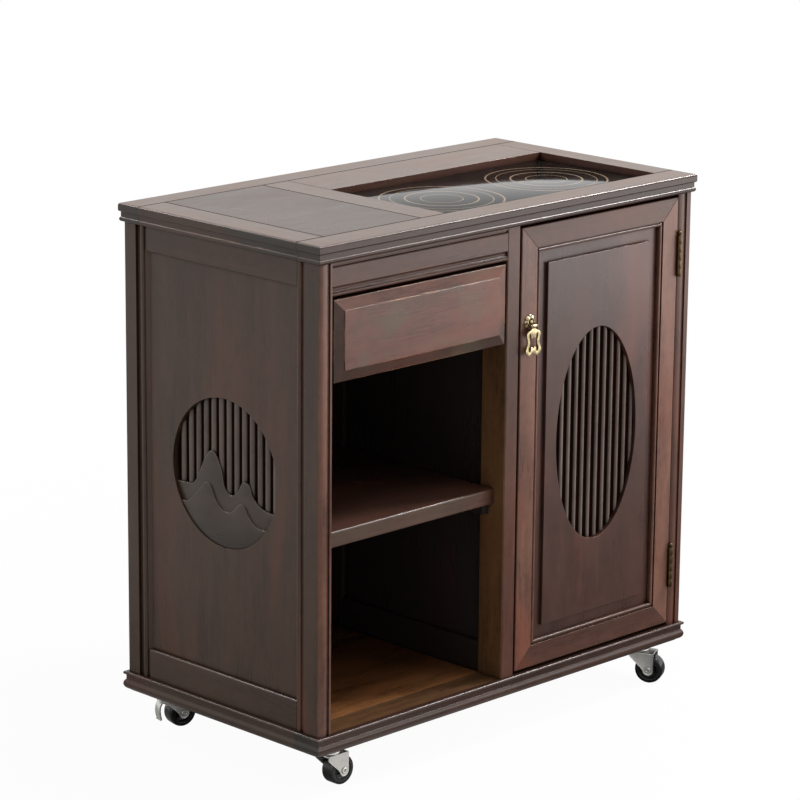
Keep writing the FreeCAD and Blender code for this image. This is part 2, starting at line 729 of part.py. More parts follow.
# Posts take the grooves of the side panels; the back pair mirrors the front pair.
# Back frame panel is tongued too, so its groove is made first.
BACK_IN_L = LEFT_IN
BACK_LOW_Z = f"({FLOOR} + back_rail_tall)"
BACK_TOP_Z = f"({UNDER_TOP} - back_rail_tall)"
back_blank, back_room = tongued("back_panel", (BACK_IN_L, RIGHT_IN),
                                (BACK_FACE, f"{BACK_FACE} + back_panel_thick"),
                                (BACK_LOW_Z, BACK_TOP_Z), "y")
subpart("back_panel", group("back_panel", back_blank))
BACK_Y = (BACK_FACE, f"{BACK_FACE} + back_rail_thick")
back_low = board("back_low_rail", (BACK_IN_L, RIGHT_IN), BACK_Y, (FLOOR, BACK_LOW_Z))
back_top = board("back_top_rail", (BACK_IN_L, RIGHT_IN), BACK_Y, (BACK_TOP_Z, UNDER_TOP))
subpart("back_rails", cut("back_rails", group("back_rail_pair", back_low, back_top), back_room))
subpart("post_front_left", cut("post_front_left", post_left, side_room))
back_left_plain = mirror("back_left_plain", cut("back_left_grooved", post_back, side_room), ACROSS)
subpart("post_back_left", cut("post_back_left", back_left_plain, back_room))
subpart("post_front_right", mirror("right_plain", cut("right_grooved", post_right, side_room), ALONG))
far_plain = mirror("far_plain", cut("far_grooved", post_far, side_room), ALONG)
back_right_plain = mirror("back_right_plain", far_plain, ACROSS)
subpart("post_back_right", cut("post_back_right", back_right_plain, back_room))

# Divider between the bay and the cupboard
DIVIDER_Y = (FRONT_IN, f"{BACK_FACE} - divider_post_deep")
DIVIDER_MID = f"(({DIVIDER_L} + {DIVIDER_R}) / 2)"
DIVIDER_PANEL_X = (f"{DIVIDER_MID} - divider_panel_thick / 2", f"{DIVIDER_MID} + divider_panel_thick / 2")
DIVIDER_LOW = f"({FLOOR} + divider_rail_tall)"
DIVIDER_TOP = f"({UNDER_TOP} - divider_rail_tall)"
divider_blank, divider_room = tongued("divider_panel", DIVIDER_PANEL_X, DIVIDER_Y,
                                      (DIVIDER_LOW, DIVIDER_TOP), "x")
subpart("divider_panel", group("divider_panel", divider_blank))
DIVIDER_RAIL_X = (f"{DIVIDER_L} + divider_rail_setback", f"{DIVIDER_R} - divider_rail_setback")
divider_low = board("divider_low_rail", DIVIDER_RAIL_X, DIVIDER_Y, (FLOOR, DIVIDER_LOW))
divider_top = board("divider_top_rail", DIVIDER_RAIL_X, DIVIDER_Y, (DIVIDER_TOP, UNDER_TOP))
subpart("divider_rails", cut("divider_rails", group("divider_rail_pair", divider_low, divider_top),
                             divider_room))
rounded_post = [
    ("divider_post_round", "0"),
    ("divider_wide - divider_post_round", "0"),
    ("divider_wide", "divider_post_round", "divider_wide - divider_post_round", "divider_post_round", 1),
    ("divider_wide", "divider_post_deep"),
    ("0", "divider_post_deep"),
    ("0", "divider_post_round"),
]
rounded_post[0] = rounded_post[0] + ("divider_post_round", "divider_post_round", 1)
divider_front = bar("divider_front_bar", "XY_Plane", rounded_post, CASE_TALL)
bind(divider_front, x=DIVIDER_L, y=f"-{BODY_Y}", z=FLOOR)
subpart("divider_front_post", cut("divider_front_post", divider_front, divider_room))
divider_back = board("divider_back_bar", (DIVIDER_L, DIVIDER_R),
                     (f"{BACK_FACE} - divider_post_deep", BACK_FACE), (FLOOR, UNDER_TOP))
subpart("divider_back_post", cut("divider_back_post", divider_back, divider_room))

# Shelf on cleats
SHELF_LOW = f"({FLOOR} + shelf_height)"
SHELF_TALL = "shelf_thick"
SHELF_FRONT = f"(shelf_setback - {BODY_Y})"
SHELF_DEEP = f"({BACK_FACE} - {SHELF_FRONT})"
shelf_steps = [
    (SHELF_DEEP, "0"),
    (SHELF_DEEP, SHELF_TALL),
    ("shelf_round", SHELF_TALL),
    ("0", f"{SHELF_TALL} - shelf_round", "shelf_round", f"{SHELF_TALL} - shelf_round", 1),
    ("0", "shelf_round"),
    ("shelf_round", "0", "shelf_round", "shelf_round", 1),
]
shelf = bar("shelf", "YZ_Plane", shelf_steps, "bay_wide")
bind(shelf, x=LEFT_IN, y=SHELF_FRONT, z=SHELF_LOW)
subpart("shelf", shelf)
CLEAT_Y = (f"cleat_inset - {BODY_Y}", f"{BODY_Y} - cleat_inset")
CLEAT_Z = (f"{SHELF_LOW} - cleat_tall", SHELF_LOW)
cleat_left = board("cleat_left", (LEFT_IN, f"{LEFT_IN} + cleat_wide"), CLEAT_Y, CLEAT_Z)
cleat_right = board("cleat_right", (f"{DIVIDER_L} - cleat_wide", DIVIDER_L), CLEAT_Y, CLEAT_Z)
subpart("shelf_cleats", group("shelf_cleats", cleat_left, cleat_right))

# Moulded rail over the drawer: fillet, quirk, rounded band, cove and bead
FASCIA_COVE_TOP = "(2 * fascia_bead + fascia_cove)"
FASCIA_BAND_TOP = "(fascia_tall - fascia_fillet - fascia_quirk)"
COVE_ARC = "((fascia_cove * fascia_cove / 4 + fascia_cove_deep * fascia_cove_deep) / (2 * fascia_cove_deep))"
fascia_steps = [
    ("fascia_thick", "0"),
    ("fascia_thick", "fascia_tall"),
    ("0", "fascia_tall"),
    ("0", "fascia_tall - fascia_fillet"),
    ("fascia_quirk_deep", "fascia_tall - fascia_fillet"),
    ("fascia_quirk_deep", FASCIA_BAND_TOP),
    ("0", f"{FASCIA_BAND_TOP} - fascia_round", "fascia_quirk_deep", f"{FASCIA_BAND_TOP} - fascia_round", 1),
    ("0", FASCIA_COVE_TOP),
    ("0", "2 * fascia_bead", f"fascia_cove_deep - {COVE_ARC}", "2 * fascia_bead + fascia_cove / 2", -1),
    ("fascia_bead", "2 * fascia_bead"),
    ("fascia_bead", "0", "fascia_bead", "fascia_bead", 1),
]
FASCIA_Z = f"({UNDER_TOP} - fascia_tall)"
fascia = bar("fascia_rail", "YZ_Plane", fascia_steps, "bay_wide")
bind(fascia, x=LEFT_IN, y=f"-{BODY_Y}", z=FASCIA_Z)
subpart("fascia_rail", fascia)

# Drawer: raised front, sides and back, bottom
FRONT_L = f"({LEFT_IN} + drawer_gap_side)"
FRONT_R = f"({DIVIDER_L} - drawer_gap_side)"
FRONT_TOP = f"({FASCIA_Z} - drawer_gap_top)"
FRONT_LOW = f"({FRONT_TOP} - drawer_front_tall)"
FRONT_FACE = f"(drawer_front_back - {BODY_Y})"
FRONT_REAR = f"({FRONT_FACE} + drawer_front_thick)"
front_slab = board("drawer_front_slab", (FRONT_L, FRONT_R), (FRONT_FACE, FRONT_REAR),
                   (FRONT_LOW, FRONT_TOP))
bevel = doc.addObject("Part::Wedge", "drawer_front_bevel")
turn(bevel, ALONG, 180)
FRONT_WIDE = f"({FRONT_R} - {FRONT_L})"
bind(bevel, Xmin="0", Xmax=FRONT_WIDE, Ymin="0", Ymax="drawer_rise - drawer_step", Zmin="0",
     Zmax="drawer_front_tall",
     X2min="drawer_bevel", X2max=f"{FRONT_WIDE} - drawer_bevel", Z2min="drawer_bevel",
     Z2max="drawer_front_tall - drawer_bevel", x=FRONT_L, y=FRONT_FACE, z=FRONT_TOP)
field = board("drawer_field", (f"{FRONT_L} + drawer_bevel", f"{FRONT_R} - drawer_bevel"),
              (f"{FRONT_FACE} - drawer_rise", FRONT_FACE),
              (f"{FRONT_LOW} + drawer_bevel", f"{FRONT_TOP} - drawer_bevel"))
subpart("drawer_front", fuse("drawer_front", front_slab, bevel, field))
BOX_L = f"({FRONT_L} + drawer_side_inset)"
BOX_R = f"({FRONT_R} - drawer_side_inset)"
BOX_LOW = f"({FRONT_LOW} + drawer_side_lift)"
BOX_TOP = f"({BOX_LOW} + drawer_side_tall)"
BOX_REAR = f"({BACK_FACE} - drawer_back_gap)"
BOX_Z = (BOX_LOW, BOX_TOP)
drawer_left = board("drawer_left", (BOX_L, f"{BOX_L} + drawer_side_thick"), (FRONT_REAR, BOX_REAR), BOX_Z)
drawer_right = board("drawer_right", (f"{BOX_R} - drawer_side_thick", BOX_R), (FRONT_REAR, BOX_REAR), BOX_Z)
INSIDE_X = (f"{BOX_L} + drawer_side_thick", f"{BOX_R} - drawer_side_thick")
drawer_back = board("drawer_back", INSIDE_X, (f"{BOX_REAR} - drawer_side_thick", BOX_REAR), BOX_Z)
subpart("drawer_box", group("drawer_box", drawer_left, drawer_right, drawer_back))
BOTTOM_Z = (f"{BOX_LOW} + drawer_bottom_lift", f"{BOX_LOW} + drawer_bottom_lift + drawer_bottom_thick")
drawer_bottom = board("drawer_bottom", INSIDE_X, (FRONT_REAR, f"{BOX_REAR} - drawer_side_thick"), BOTTOM_Z)
subpart("drawer_bottom", drawer_bottom)
RUNNER_Z = (f"{BOX_LOW} - runner_tall", BOX_LOW)
KICKER_Z = (f"{BOX_TOP} + kicker_play", f"{BOX_TOP} + kicker_play + runner_tall")
RUNNER_LEFT = (LEFT_IN, f"{LEFT_IN} + runner_wide")
RUNNER_RIGHT = (f"{DIVIDER_L} - runner_wide", DIVIDER_L)
runners = [board("runner_left", RUNNER_LEFT, CLEAT_Y, RUNNER_Z),
           board("runner_right", RUNNER_RIGHT, CLEAT_Y, RUNNER_Z),
           board("kicker_left", RUNNER_LEFT, CLEAT_Y, KICKER_Z),
           board("kicker_right", RUNNER_RIGHT, CLEAT_Y, KICKER_Z)]
subpart("drawer_runners", group("drawer_runners", *runners))

# Door frame, mitred at the corners, with a bead round the opening
DOOR_L = f"({DIVIDER_R} + door_gap)"
DOOR_R = f"({RIGHT_IN} - door_hinge_gap)"
DOOR_LOW = f"({FLOOR} + door_gap_bottom)"
DOOR_TOP = f"({UNDER_TOP} - door_gap_top)"
DOOR_WIDE = f"({DOOR_R} - {DOOR_L})"
DOOR_TALL = f"({DOOR_TOP} - {DOOR_LOW})"
BEAD_START = "(door_frame_wide - 2 * door_bead)"
frame_steps = [
    ("0", "door_thick"),
    ("0", "door_round"),
    ("door_round", "0", "door_round", "door_round", 1),
    (f"{BEAD_START} - door_groove", "0"),
    (f"{BEAD_START} - door_groove", "door_bead"),
    (BEAD_START, "door_bead"),
    ("door_frame_wide", "door_bead", "door_frame_wide - door_bead", "door_bead", 1),
    ("door_frame_wide", "door_thick"),
]


def swung(text):
    return f"-({text})"


rail_steps = [(step[1], swung(step[0])) + ((step[3], swung(step[2]), 1) if len(step) == 5 else ())
              for step in frame_steps]
FORWARD = FreeCAD.Vector(0, -1, 0)


def mitre(name, length, inward, lengthwise):
    """Trapezium as long as the frame outside and shorter by both mitres inside."""
    thing = doc.addObject("Part::Wedge", name)
    thing.Placement = FreeCAD.Placement(FreeCAD.Vector(),
                                        FreeCAD.Rotation(FORWARD, inward, lengthwise, "XYZ"))
    bind(thing, Xmin="-overrun", Xmax="door_thick + overrun", X2min="-overrun",
         X2max="door_thick + overrun",
         Ymin="0", Ymax="door_frame_wide", Zmin="0", Zmax=length)
    return bind(thing, Z2min="door_frame_wide", Z2max=f"{length} - door_frame_wide")


def opposite(name, source):
    """Copy turned half round about the middle of the door."""
    thing = turn(group(name, source), ACROSS, 180)
    return bind(thing, x=f"{DOOR_L} + {DOOR_R}", z=f"{DOOR_LOW} + {DOOR_TOP}")


stile_bar = bar("door_stile_bar", "XY_Plane", frame_steps, DOOR_TALL)
bind(stile_bar, x=DOOR_L, y=f"-{BODY_Y}", z=DOOR_LOW)
stile_mitre = mitre("door_stile_mitre", DOOR_TALL, ALONG, UP)
bind(stile_mitre, x=DOOR_L, y=f"door_thick - {BODY_Y}", z=DOOR_LOW)
stile = common("door_stile", stile_bar, stile_mitre)
rail_bar = bar("door_rail_bar", "YZ_Plane", rail_steps, DOOR_WIDE)
bind(rail_bar, x=DOOR_L, y=f"-{BODY_Y}", z=DOOR_TOP)
rail_mitre = mitre("door_rail_mitre", DOOR_WIDE, FreeCAD.Vector(0, 0, -1), ALONG)
bind(rail_mitre, x=DOOR_L, y=f"door_thick - {BODY_Y}", z=DOOR_TOP)
rail = common("door_rail", rail_bar, rail_mitre)

# Raised panel with an oval window
SIGHT_X = (f"({DOOR_L} + door_frame_wide)", f"({DOOR_R} - door_frame_wide)")
SIGHT_Z = (f"({DOOR_LOW} + door_frame_wide)", f"({DOOR_TOP} - door_frame_wide)")
BORDER_FACE = f"(door_panel_sunk - {BODY_Y})"
FIELD_FACE = f"({BORDER_FACE} - door_panel_rise)"
door_blank, door_room = tongued("door_panel", SIGHT_X,
                                (BORDER_FACE, f"{BORDER_FACE} + door_panel_thick"), SIGHT_Z, "y")
door_field = board("door_field", (f"{SIGHT_X[0]} + door_field_margin", f"{SIGHT_X[1]} - door_field_margin"),
                   (FIELD_FACE, BORDER_FACE),
                   (f"{SIGHT_Z[0]} + door_field_margin", f"{SIGHT_Z[1]} - door_field_margin"))
DOOR_MID_X = f"(({DOOR_L} + {DOOR_R}) / 2)"
DOOR_MID_Z = f"(({DOOR_LOW} + {DOOR_TOP}) / 2)"
# Oval window, its half axes as shares of the half width and half height inside the frame
OVAL_SHARES = (0.674, 0.5525)
OVAL_HALF_WIDE = f"({OVAL_SHARES[0]} * ({DOOR_WIDE} / 2 - door_frame_wide))"
OVAL_HALF_TALL = f"({OVAL_SHARES[1]} * ({DOOR_TALL} / 2 - door_frame_wide))"


def oval(name, play, start, deep):
    ring = doc.addObject("Part::Ellipse", name + "_edge")
    ring.Placement = FreeCAD.Placement(FreeCAD.Vector(), FreeCAD.Rotation(UP, ALONG, ACROSS, "XYZ"))
    bind(ring, MajorRadius=f"{OVAL_HALF_TALL} - {play}", MinorRadius=f"{OVAL_HALF_WIDE} - {play}",
         x=DOOR_MID_X, y=start, z=DOOR_MID_Z)
    solid = doc.addObject("Part::Extrusion", name)
    solid.Base = ring
    solid.DirMode = "Custom"
    solid.Dir = ACROSS
    solid.Solid = True
    return bind(solid, LengthFwd=deep)


oval_room = oval("oval_room", "0", f"{FIELD_FACE} - overrun", "oval_deep + overrun")
subpart("door_panel", cut("door_panel", fuse("door_panel_board", door_blank, door_field), oval_room))
subpart("door_stiles", cut("door_stiles",
                           group("door_stile_pair", stile, opposite("door_stile_right", stile)), door_room))
subpart("door_rails", cut("door_rails", group("door_rail_pair", rail, opposite("door_rail_low", rail)),
                          door_room))
door_row = slat_run("door_slat_row", "door_slat_wide", "door_slat_rise", "door_slat_pitch", DOOR_SLATS,
                    f"2 * {OVAL_HALF_TALL}", "XY_Plane")
door_row.Placement = FreeCAD.Placement(FreeCAD.Vector(), FreeCAD.Rotation(UP, 180))
bind(door_row, x=DOOR_MID_X, y=f"{FIELD_FACE} + oval_deep", z=DOOR_MID_Z)
oval_disc = oval("oval_disc", "window_play", FIELD_FACE, "oval_deep")
subpart("door_slats", common("door_slats", door_row, oval_disc))

# Butt hinges: knuckles in turn on the post leaf and the door leaf, pin fixed in the post leaf
HINGE_X = f"({DOOR_R} + door_hinge_gap / 2)"
HINGE_Y = f"(-{BODY_Y} - hinge_barrel)"
LEAF = "((door_hinge_gap - hinge_leaf_gap) / 2)"
KNUCKLE = "((hinge_tall - 4 * hinge_knuckle_gap) / 5)"
LEAF_Y = (f"-{BODY_Y} + hinge_leaf_gap", f"hinge_leaf_deep - {BODY_Y}")
door_leaves, post_leaves = [], []
for place, low in (("low", f"({DOOR_LOW} + hinge_inset)"),
                   ("top", f"({DOOR_TOP} - hinge_inset - hinge_tall)")):
    for side, across in (("door", (DOOR_R, f"{DOOR_R} + {LEAF}")),
                         ("post", (f"{RIGHT_IN} - {LEAF}", RIGHT_IN))):
        name = f"hinge_{place}_{side}"
        pieces = [board(name + "_leaf", across, LEAF_Y, (low, f"{low} + hinge_tall"))]
        for number in ((0, 2, 4) if side == "post" else (1, 3)):
            start = f"{low} + {number} * ({KNUCKLE} + hinge_knuckle_gap)"
            arm = (start, f"{start} + {KNUCKLE}")
            pieces.append(board(f"{name}_arm_{number}", across, (HINGE_Y, LEAF_Y[0]), arm))
            pieces.append(rod(f"{name}_knuckle_{number}", "hinge_barrel", KNUCKLE, HINGE_X, HINGE_Y, start))
        if side == "door":
            bore = rod(name + "_bore", "hinge_pin + swivel_play", "hinge_tall + 2 * overrun",
                       HINGE_X, HINGE_Y, f"{low} - overrun")
            door_leaves.append(cut(name, fuse(name + "_whole", *pieces), bore))
            continue
        pieces.append(rod(name + "_pin", "hinge_pin", "hinge_tall + hinge_neck + hinge_finial", HINGE_X,
                          HINGE_Y, low))
        ball = doc.addObject("Part::Sphere", name + "_finial")
        bind(ball, Radius="hinge_finial", x=HINGE_X, y=HINGE_Y,
             z=f"{low} + hinge_tall + hinge_neck + hinge_finial")
        post_leaves.append(fuse(name, ball, *pieces))
subpart("hinge_door_leaves", group("hinge_door_leaves", *door_leaves))
subpart("hinge_post_leaves", group("hinge_post_leaves", *post_leaves))

# Pull: scalloped rosette with a domed middle and two cheeks that hold the pin of the drop
PULL_X = f"({DOOR_L} + pull_from_edge)"
PULL_Z = f"({DOOR_TOP} - pull_below_top)"
PIVOT_Y = f"(-{BODY_Y} - pull_standoff)"
PIVOT_Z = f"({PULL_Z} - pull_hang)"
rosette = doc.addObject("PartDesign::Body", "rosette")
middle_sketch = sketch_on(rosette, "XZ_Plane", "rosette_middle_outline")
lobe_sketch = sketch_on(rosette, "XZ_Plane", "rosette_lobe_outline")
for sketch, place, radius in ((middle_sketch, "0", "rosette_radius"),
                              (lobe_sketch, "rosette_radius", "rosette_lobe")):
    ring = Part.Circle(FreeCAD.Vector(value(place), 0, 0), UP, value(radius))
    sketch.addGeometry(ring, False)
    fix(sketch, 0, 3, place, "0")
    number = sketch.addConstraint(Sketcher.Constraint("Radius", 0, value(radius)))
    sketch.setExpression("Constraints[%d]" % number, bound(radius))
middle_pad = rosette.newObject("PartDesign::Pad", "rosette_middle")
middle_pad.Profile = middle_sketch
bind(middle_pad, Length="rosette_thick")
lobe_pad = rosette.newObject("PartDesign::Pad", "rosette_lobe_pad")
lobe_pad.Profile = lobe_sketch
bind(lobe_pad, Length="rosette_thick")
lobes = rosette.newObject("PartDesign::PolarPattern", "rosette_lobes")
lobes.Originals = [lobe_pad]
lobes.Axis = (middle_sketch, ["N_Axis"])
lobes.Angle = 360
lobes.Occurrences = ROSETTE_LOBES
rosette.Tip = lobes
bind(rosette, x=PULL_X, y=f"-{BODY_Y}", z=PULL_Z)
dome = turn(doc.addObject("Part::Sphere", "rosette_dome_ball"), ALONG, 90)
dome.Angle1 = 0
bind(dome, Radius="rosette_dome", x=PULL_X, y=f"-{BODY_Y}", z=PULL_Z)
CHEEK_IN = "(pull_barrel_wide / 2 + pull_play)"
cheek_parts = [rosette, dome]
for side, places in (("left", (f"{PULL_X} - {CHEEK_IN} - pull_cheek", f"{PULL_X} - {CHEEK_IN}")),
                     ("right", (f"{PULL_X} + {CHEEK_IN}", f"{PULL_X} + {CHEEK_IN} + pull_cheek"))):
    cheek_z = (f"{PIVOT_Z} - pull_cheek_round", f"{PIVOT_Z} + pull_cheek_round")
    cheek_parts.append(board(f"cheek_{side}", places, (PIVOT_Y, f"-{BODY_Y}"), cheek_z))
    cheek_parts.append(rod(f"cheek_{side}_end", "pull_cheek_round", "pull_cheek", places[0], PIVOT_Y,
                           PIVOT_Z, "x"))
pin_length = f"2 * ({CHEEK_IN} + pull_cheek)"
cheek_parts.append(rod("pull_pin_rod", "pull_pin", pin_length, f"{PULL_X} - {CHEEK_IN} - pull_cheek",
                       PIVOT_Y, PIVOT_Z, "x"))
subpart("pull_rosette", fuse("pull_rosette", *cheek_parts))

# Openwork drop, half outlines as shares of its half width and its height, from the pin down
DROP_SIDE_SHARES = (
    (0.21, -0.02), (0.215, -0.07), (0.33, -0.115), (0.55, -0.145), (0.75, -0.185), (0.87, -0.245),
    (0.88, -0.315), (0.81, -0.41), (0.77, -0.50), (0.80, -0.60), (0.885, -0.69), (0.975, -0.765),
    (1.0, -0.825), (0.90, -0.89), (0.70, -0.95), (0.50, -1.0),
)
DROP_FOOT_SHARES = ((0.50, -1.0), (0.30, -0.94), (0.0, -0.90), (-0.30, -0.94), (-0.50, -1.0))
DROP_EYE_SHARES = (
    (0.0, -0.36), (0.10, -0.395), (0.22, -0.405), (0.31, -0.375), (0.33, -0.32), (0.36, -0.265),
    (0.45, -0.24), (0.55, -0.27), (0.58, -0.34), (0.52, -0.43), (0.47, -0.52), (0.50, -0.61),
    (0.59, -0.69), (0.64, -0.765), (0.57, -0.83), (0.45, -0.85), (0.36, -0.815), (0.34, -0.75),
    (0.30, -0.70), (0.20, -0.685), (0.09, -0.70), (0.0, -0.735),
)


def drop_point(x, z):
    return FreeCAD.Vector(x * value("drop_half_wide"), 0, z * value("drop_tall"))


def drop_curve(shares, closed=False):
    curve = Part.BSplineCurve()
    curve.interpolate([drop_point(x, z) for x, z in shares], PeriodicFlag=closed)
    return curve.toShape()


right_side = drop_curve(DROP_SIDE_SHARES)
left_side = drop_curve([(-x, z) for x, z in reversed(DROP_SIDE_SHARES)])
head_line = Part.LineSegment(drop_point(-DROP_SIDE_SHARES[0][0], DROP_SIDE_SHARES[0][1]),
                             drop_point(*DROP_SIDE_SHARES[0])).toShape()
outer = Part.Wire([head_line, right_side, drop_curve(DROP_FOOT_SHARES), left_side])
eye_left_shares = [(-x, z) for x, z in reversed(DROP_EYE_SHARES[1:-1])]
inner = Part.Wire([drop_curve(list(DROP_EYE_SHARES) + eye_left_shares, True)])
drop_face = Part.Face(outer).cut(Part.Face(inner))
drop_plate = drop_face.extrude(FreeCAD.Vector(0, value("drop_thick"), 0))
drop_plate.translate(FreeCAD.Vector(0, -value("drop_thick") / 2, 0))
drop_plain = doc.addObject("Part::Feature", "drop_plain")
drop_plain.Shape = drop_plate
bind(drop_plain, x=PULL_X, y=PIVOT_Y, z=PIVOT_Z)
BARREL_L = f"{PULL_X} - pull_barrel_wide / 2"
drop_barrel = rod("drop_barrel", "pull_barrel", "pull_barrel_wide", BARREL_L, PIVOT_Y, PIVOT_Z, "x")
drop_bore = rod("drop_bore", "pull_pin + swivel_play", "pull_barrel_wide + 2 * overrun",
                f"{BARREL_L} - overrun", PIVOT_Y, PIVOT_Z, "x")
subpart("pull_pendant", cut("pull_pendant", fuse("drop_whole", drop_plain, drop_barrel), drop_bore))

# Catch under the top rail and its strike on the back of the door
DOOR_BACK = f"(door_thick - {BODY_Y})"
CATCH_X = (f"{DOOR_L} + catch_from_edge", f"{DOOR_L} + catch_from_edge + catch_wide")
STRIKE_Z = (f"{UNDER_TOP} - catch_tall", DOOR_TOP)
subpart("door_strike", board("door_strike", CATCH_X, (DOOR_BACK, f"{DOOR_BACK} + strike_thick"), STRIKE_Z))
CATCH_FRONT = f"({DOOR_BACK} + strike_thick + catch_play)"
catch = board("door_catch", CATCH_X, (CATCH_FRONT, f"{CATCH_FRONT} + catch_deep"),
              (f"{UNDER_TOP} - catch_tall", UNDER_TOP))
subpart("door_catch", catch)

# Casters, drawn with the swivel axis at the origin and the wheel trailing along X
LEG_IN = "(wheel_wide / 2 + leg_gap)"
LEG_OUT = f"({LEG_IN} + fork_plate)"
CROWN_LOW = "(2 * wheel_radius + crown_gap)"
CROWN_TOP = f"({CROWN_LOW} + crown_thick)"
PLATE_LOW = "(base_under - plate_thick)"
RACE_TOP = f"({PLATE_LOW} - swivel_seat)"
HEAD_TOP = f"({CROWN_LOW} - swivel_seat)"
fork_steps = [
    ("-crown_lead", CROWN_TOP),
    ("-crown_lead", f"{CROWN_LOW} - fork_shoulder"),
    ("trail - fork_round", "wheel_radius"),
    ("trail + fork_round", "wheel_radius", "trail", "wheel_radius", 1),
    ("trail + fork_round", CROWN_TOP),
]
fork_sides = bar("fork_sides", "XZ_Plane", fork_steps, f"2 * {LEG_OUT}", middle=True)
slot = board("fork_slot", ("-crown_lead - brake_reach", "trail + fork_round + overrun"),
             (f"-{LEG_IN}", LEG_IN), ("0", CROWN_LOW))
race_body = rod("race_body", "race", f"{RACE_TOP} - {CROWN_LOW}", z=CROWN_LOW)
king_bore = rod("king_bore", "kingpin + swivel_play", f"{RACE_TOP} - {CROWN_LOW} + 2 * overrun",
                z=f"{CROWN_LOW} - overrun")
axle_room = rod("axle_room", "axle", f"2 * {LEG_OUT} + 2 * overrun", "trail", f"-{LEG_OUT} - overrun",
                "wheel_radius", "y")
axle_rod = rod("axle_rod", "axle", f"2 * {LEG_OUT}", "trail", f"-{LEG_OUT}", "wheel_radius", "y")
axle_near = rod("axle_near", "axle_head", "axle_head_thick", "trail", f"-{LEG_OUT} - axle_head_thick",
                "wheel_radius", "y")
axle_far = rod("axle_far", "axle_head", "axle_head_thick", "trail", LEG_OUT, "wheel_radius", "y")
axle_pin = fuse("axle_pin", axle_rod, axle_near, axle_far)


def fork(name, *extras):
    sides = fuse(name + "_sides", fork_sides, *extras) if extras else fork_sides
    whole = fuse(name + "_whole", cut(name + "_legs", sides, slot), race_body)
    return cut(name + "_bored", cut(name + "_swivel", whole, king_bore), axle_room)


plain_fork = group("plain_fork", fork("fork_front"), axle_pin)
EAR_X = ("-brake_ahead - brake_ear", "2 * overrun - crown_lead")
EAR_Z = (f"{CROWN_LOW} - brake_drop - brake_ear", CROWN_TOP)
ear = board("fork_ear", EAR_X, (f"-{LEG_OUT}", LEG_OUT), EAR_Z)
lever_pin = rod("lever_pin", "brake_pin", f"2 * {LEG_OUT}", "-brake_ahead", f"-{LEG_OUT}",
                f"{CROWN_LOW} - brake_drop", "y")
braked_fork = group("braked_fork", fuse("fork_back", fork("fork_back_plain", ear), lever_pin), axle_pin)

WHEEL_HALF = "(wheel_wide / 2)"
WHEEL_WEB = f"({WHEEL_HALF} - wheel_web_sunk)"
RIM_IN = "(wheel_radius - wheel_rim)"
WHEEL_BORE = "(axle + swivel_play)"
wheel_steps = [
    ("-hub_wide / 2", WHEEL_BORE),
    ("hub_wide / 2", WHEEL_BORE),
    ("hub_wide / 2", "hub_radius"),
    (WHEEL_WEB, "hub_radius"),
    (WHEEL_WEB, RIM_IN),
    (WHEEL_HALF, RIM_IN),
    (WHEEL_HALF, "wheel_radius - wheel_round"),
    (f"{WHEEL_HALF} - wheel_round", "wheel_radius", f"{WHEEL_HALF} - wheel_round",
     "wheel_radius - wheel_round", 1),
    (f"wheel_round - {WHEEL_HALF}", "wheel_radius"),
    (f"-{WHEEL_HALF}", "wheel_radius - wheel_round", f"wheel_round - {WHEEL_HALF}",
     "wheel_radius - wheel_round", 1),
    (f"-{WHEEL_HALF}", RIM_IN),
    (f"-{WHEEL_WEB}", RIM_IN),
    (f"-{WHEEL_WEB}", "hub_radius"),
    ("-hub_wide / 2", "hub_radius"),
]
wheel = doc.addObject("PartDesign::Body", "wheel")
wheel_sketch = sketch_on(wheel, "XY_Plane", "wheel_outline")
outline(wheel_sketch, wheel_steps)
wheel_turned = wheel.newObject("PartDesign::Revolution", "wheel_turned")
wheel_turned.Profile = wheel_sketch
wheel_turned.ReferenceAxis = (wheel_sketch, ["H_Axis"])
wheel_turned.Angle = 360
turn(wheel, UP, 90)
bind(wheel, x="trail", z="wheel_radius")

# Brake lever: eye on the fork's pin, pedal outwards and a shoe towards the wheel
BRAKE_SHARES = (
    (0.11, 0.09), (-0.27, 0.10), (-0.65, 0.0), (-0.91, -0.20), (-1.0, -0.48), (-0.93, -0.74),
    (-0.80, -0.92), (-0.86, -1.0), (-0.68, -1.0), (-0.60, -0.92), (-0.73, -0.72), (-0.79, -0.48),
    (-0.72, -0.25), (-0.50, -0.09), (-0.16, -0.10), (0.31, -0.30), (0.45, -0.25), (0.25, -0.03),
)
lever_steps = [(f"{x} * brake_reach", f"{z} * brake_fall") for x, z in reversed(BRAKE_SHARES)]
lever_steps.reverse()
lever_strip = bar("lever_strip", "XZ_Plane", lever_steps, "brake_wide", middle=True)
LEVER_Z = f"({CROWN_LOW} - brake_drop)"
bind(lever_strip, x="-brake_ahead", z=LEVER_Z)
lever_eye = rod("lever_eye", "brake_eye", f"2 * ({LEG_IN} - brake_play)", "-brake_ahead",
                f"brake_play - {LEG_IN}", LEVER_Z, "y")
lever_bore = rod("lever_bore", "brake_pin + swivel_play", f"2 * {LEG_OUT}", "-brake_ahead",
                 f"-{LEG_OUT}", LEVER_Z, "y")
lever = cut("lever", fuse("lever_whole", lever_strip, lever_eye), lever_bore)

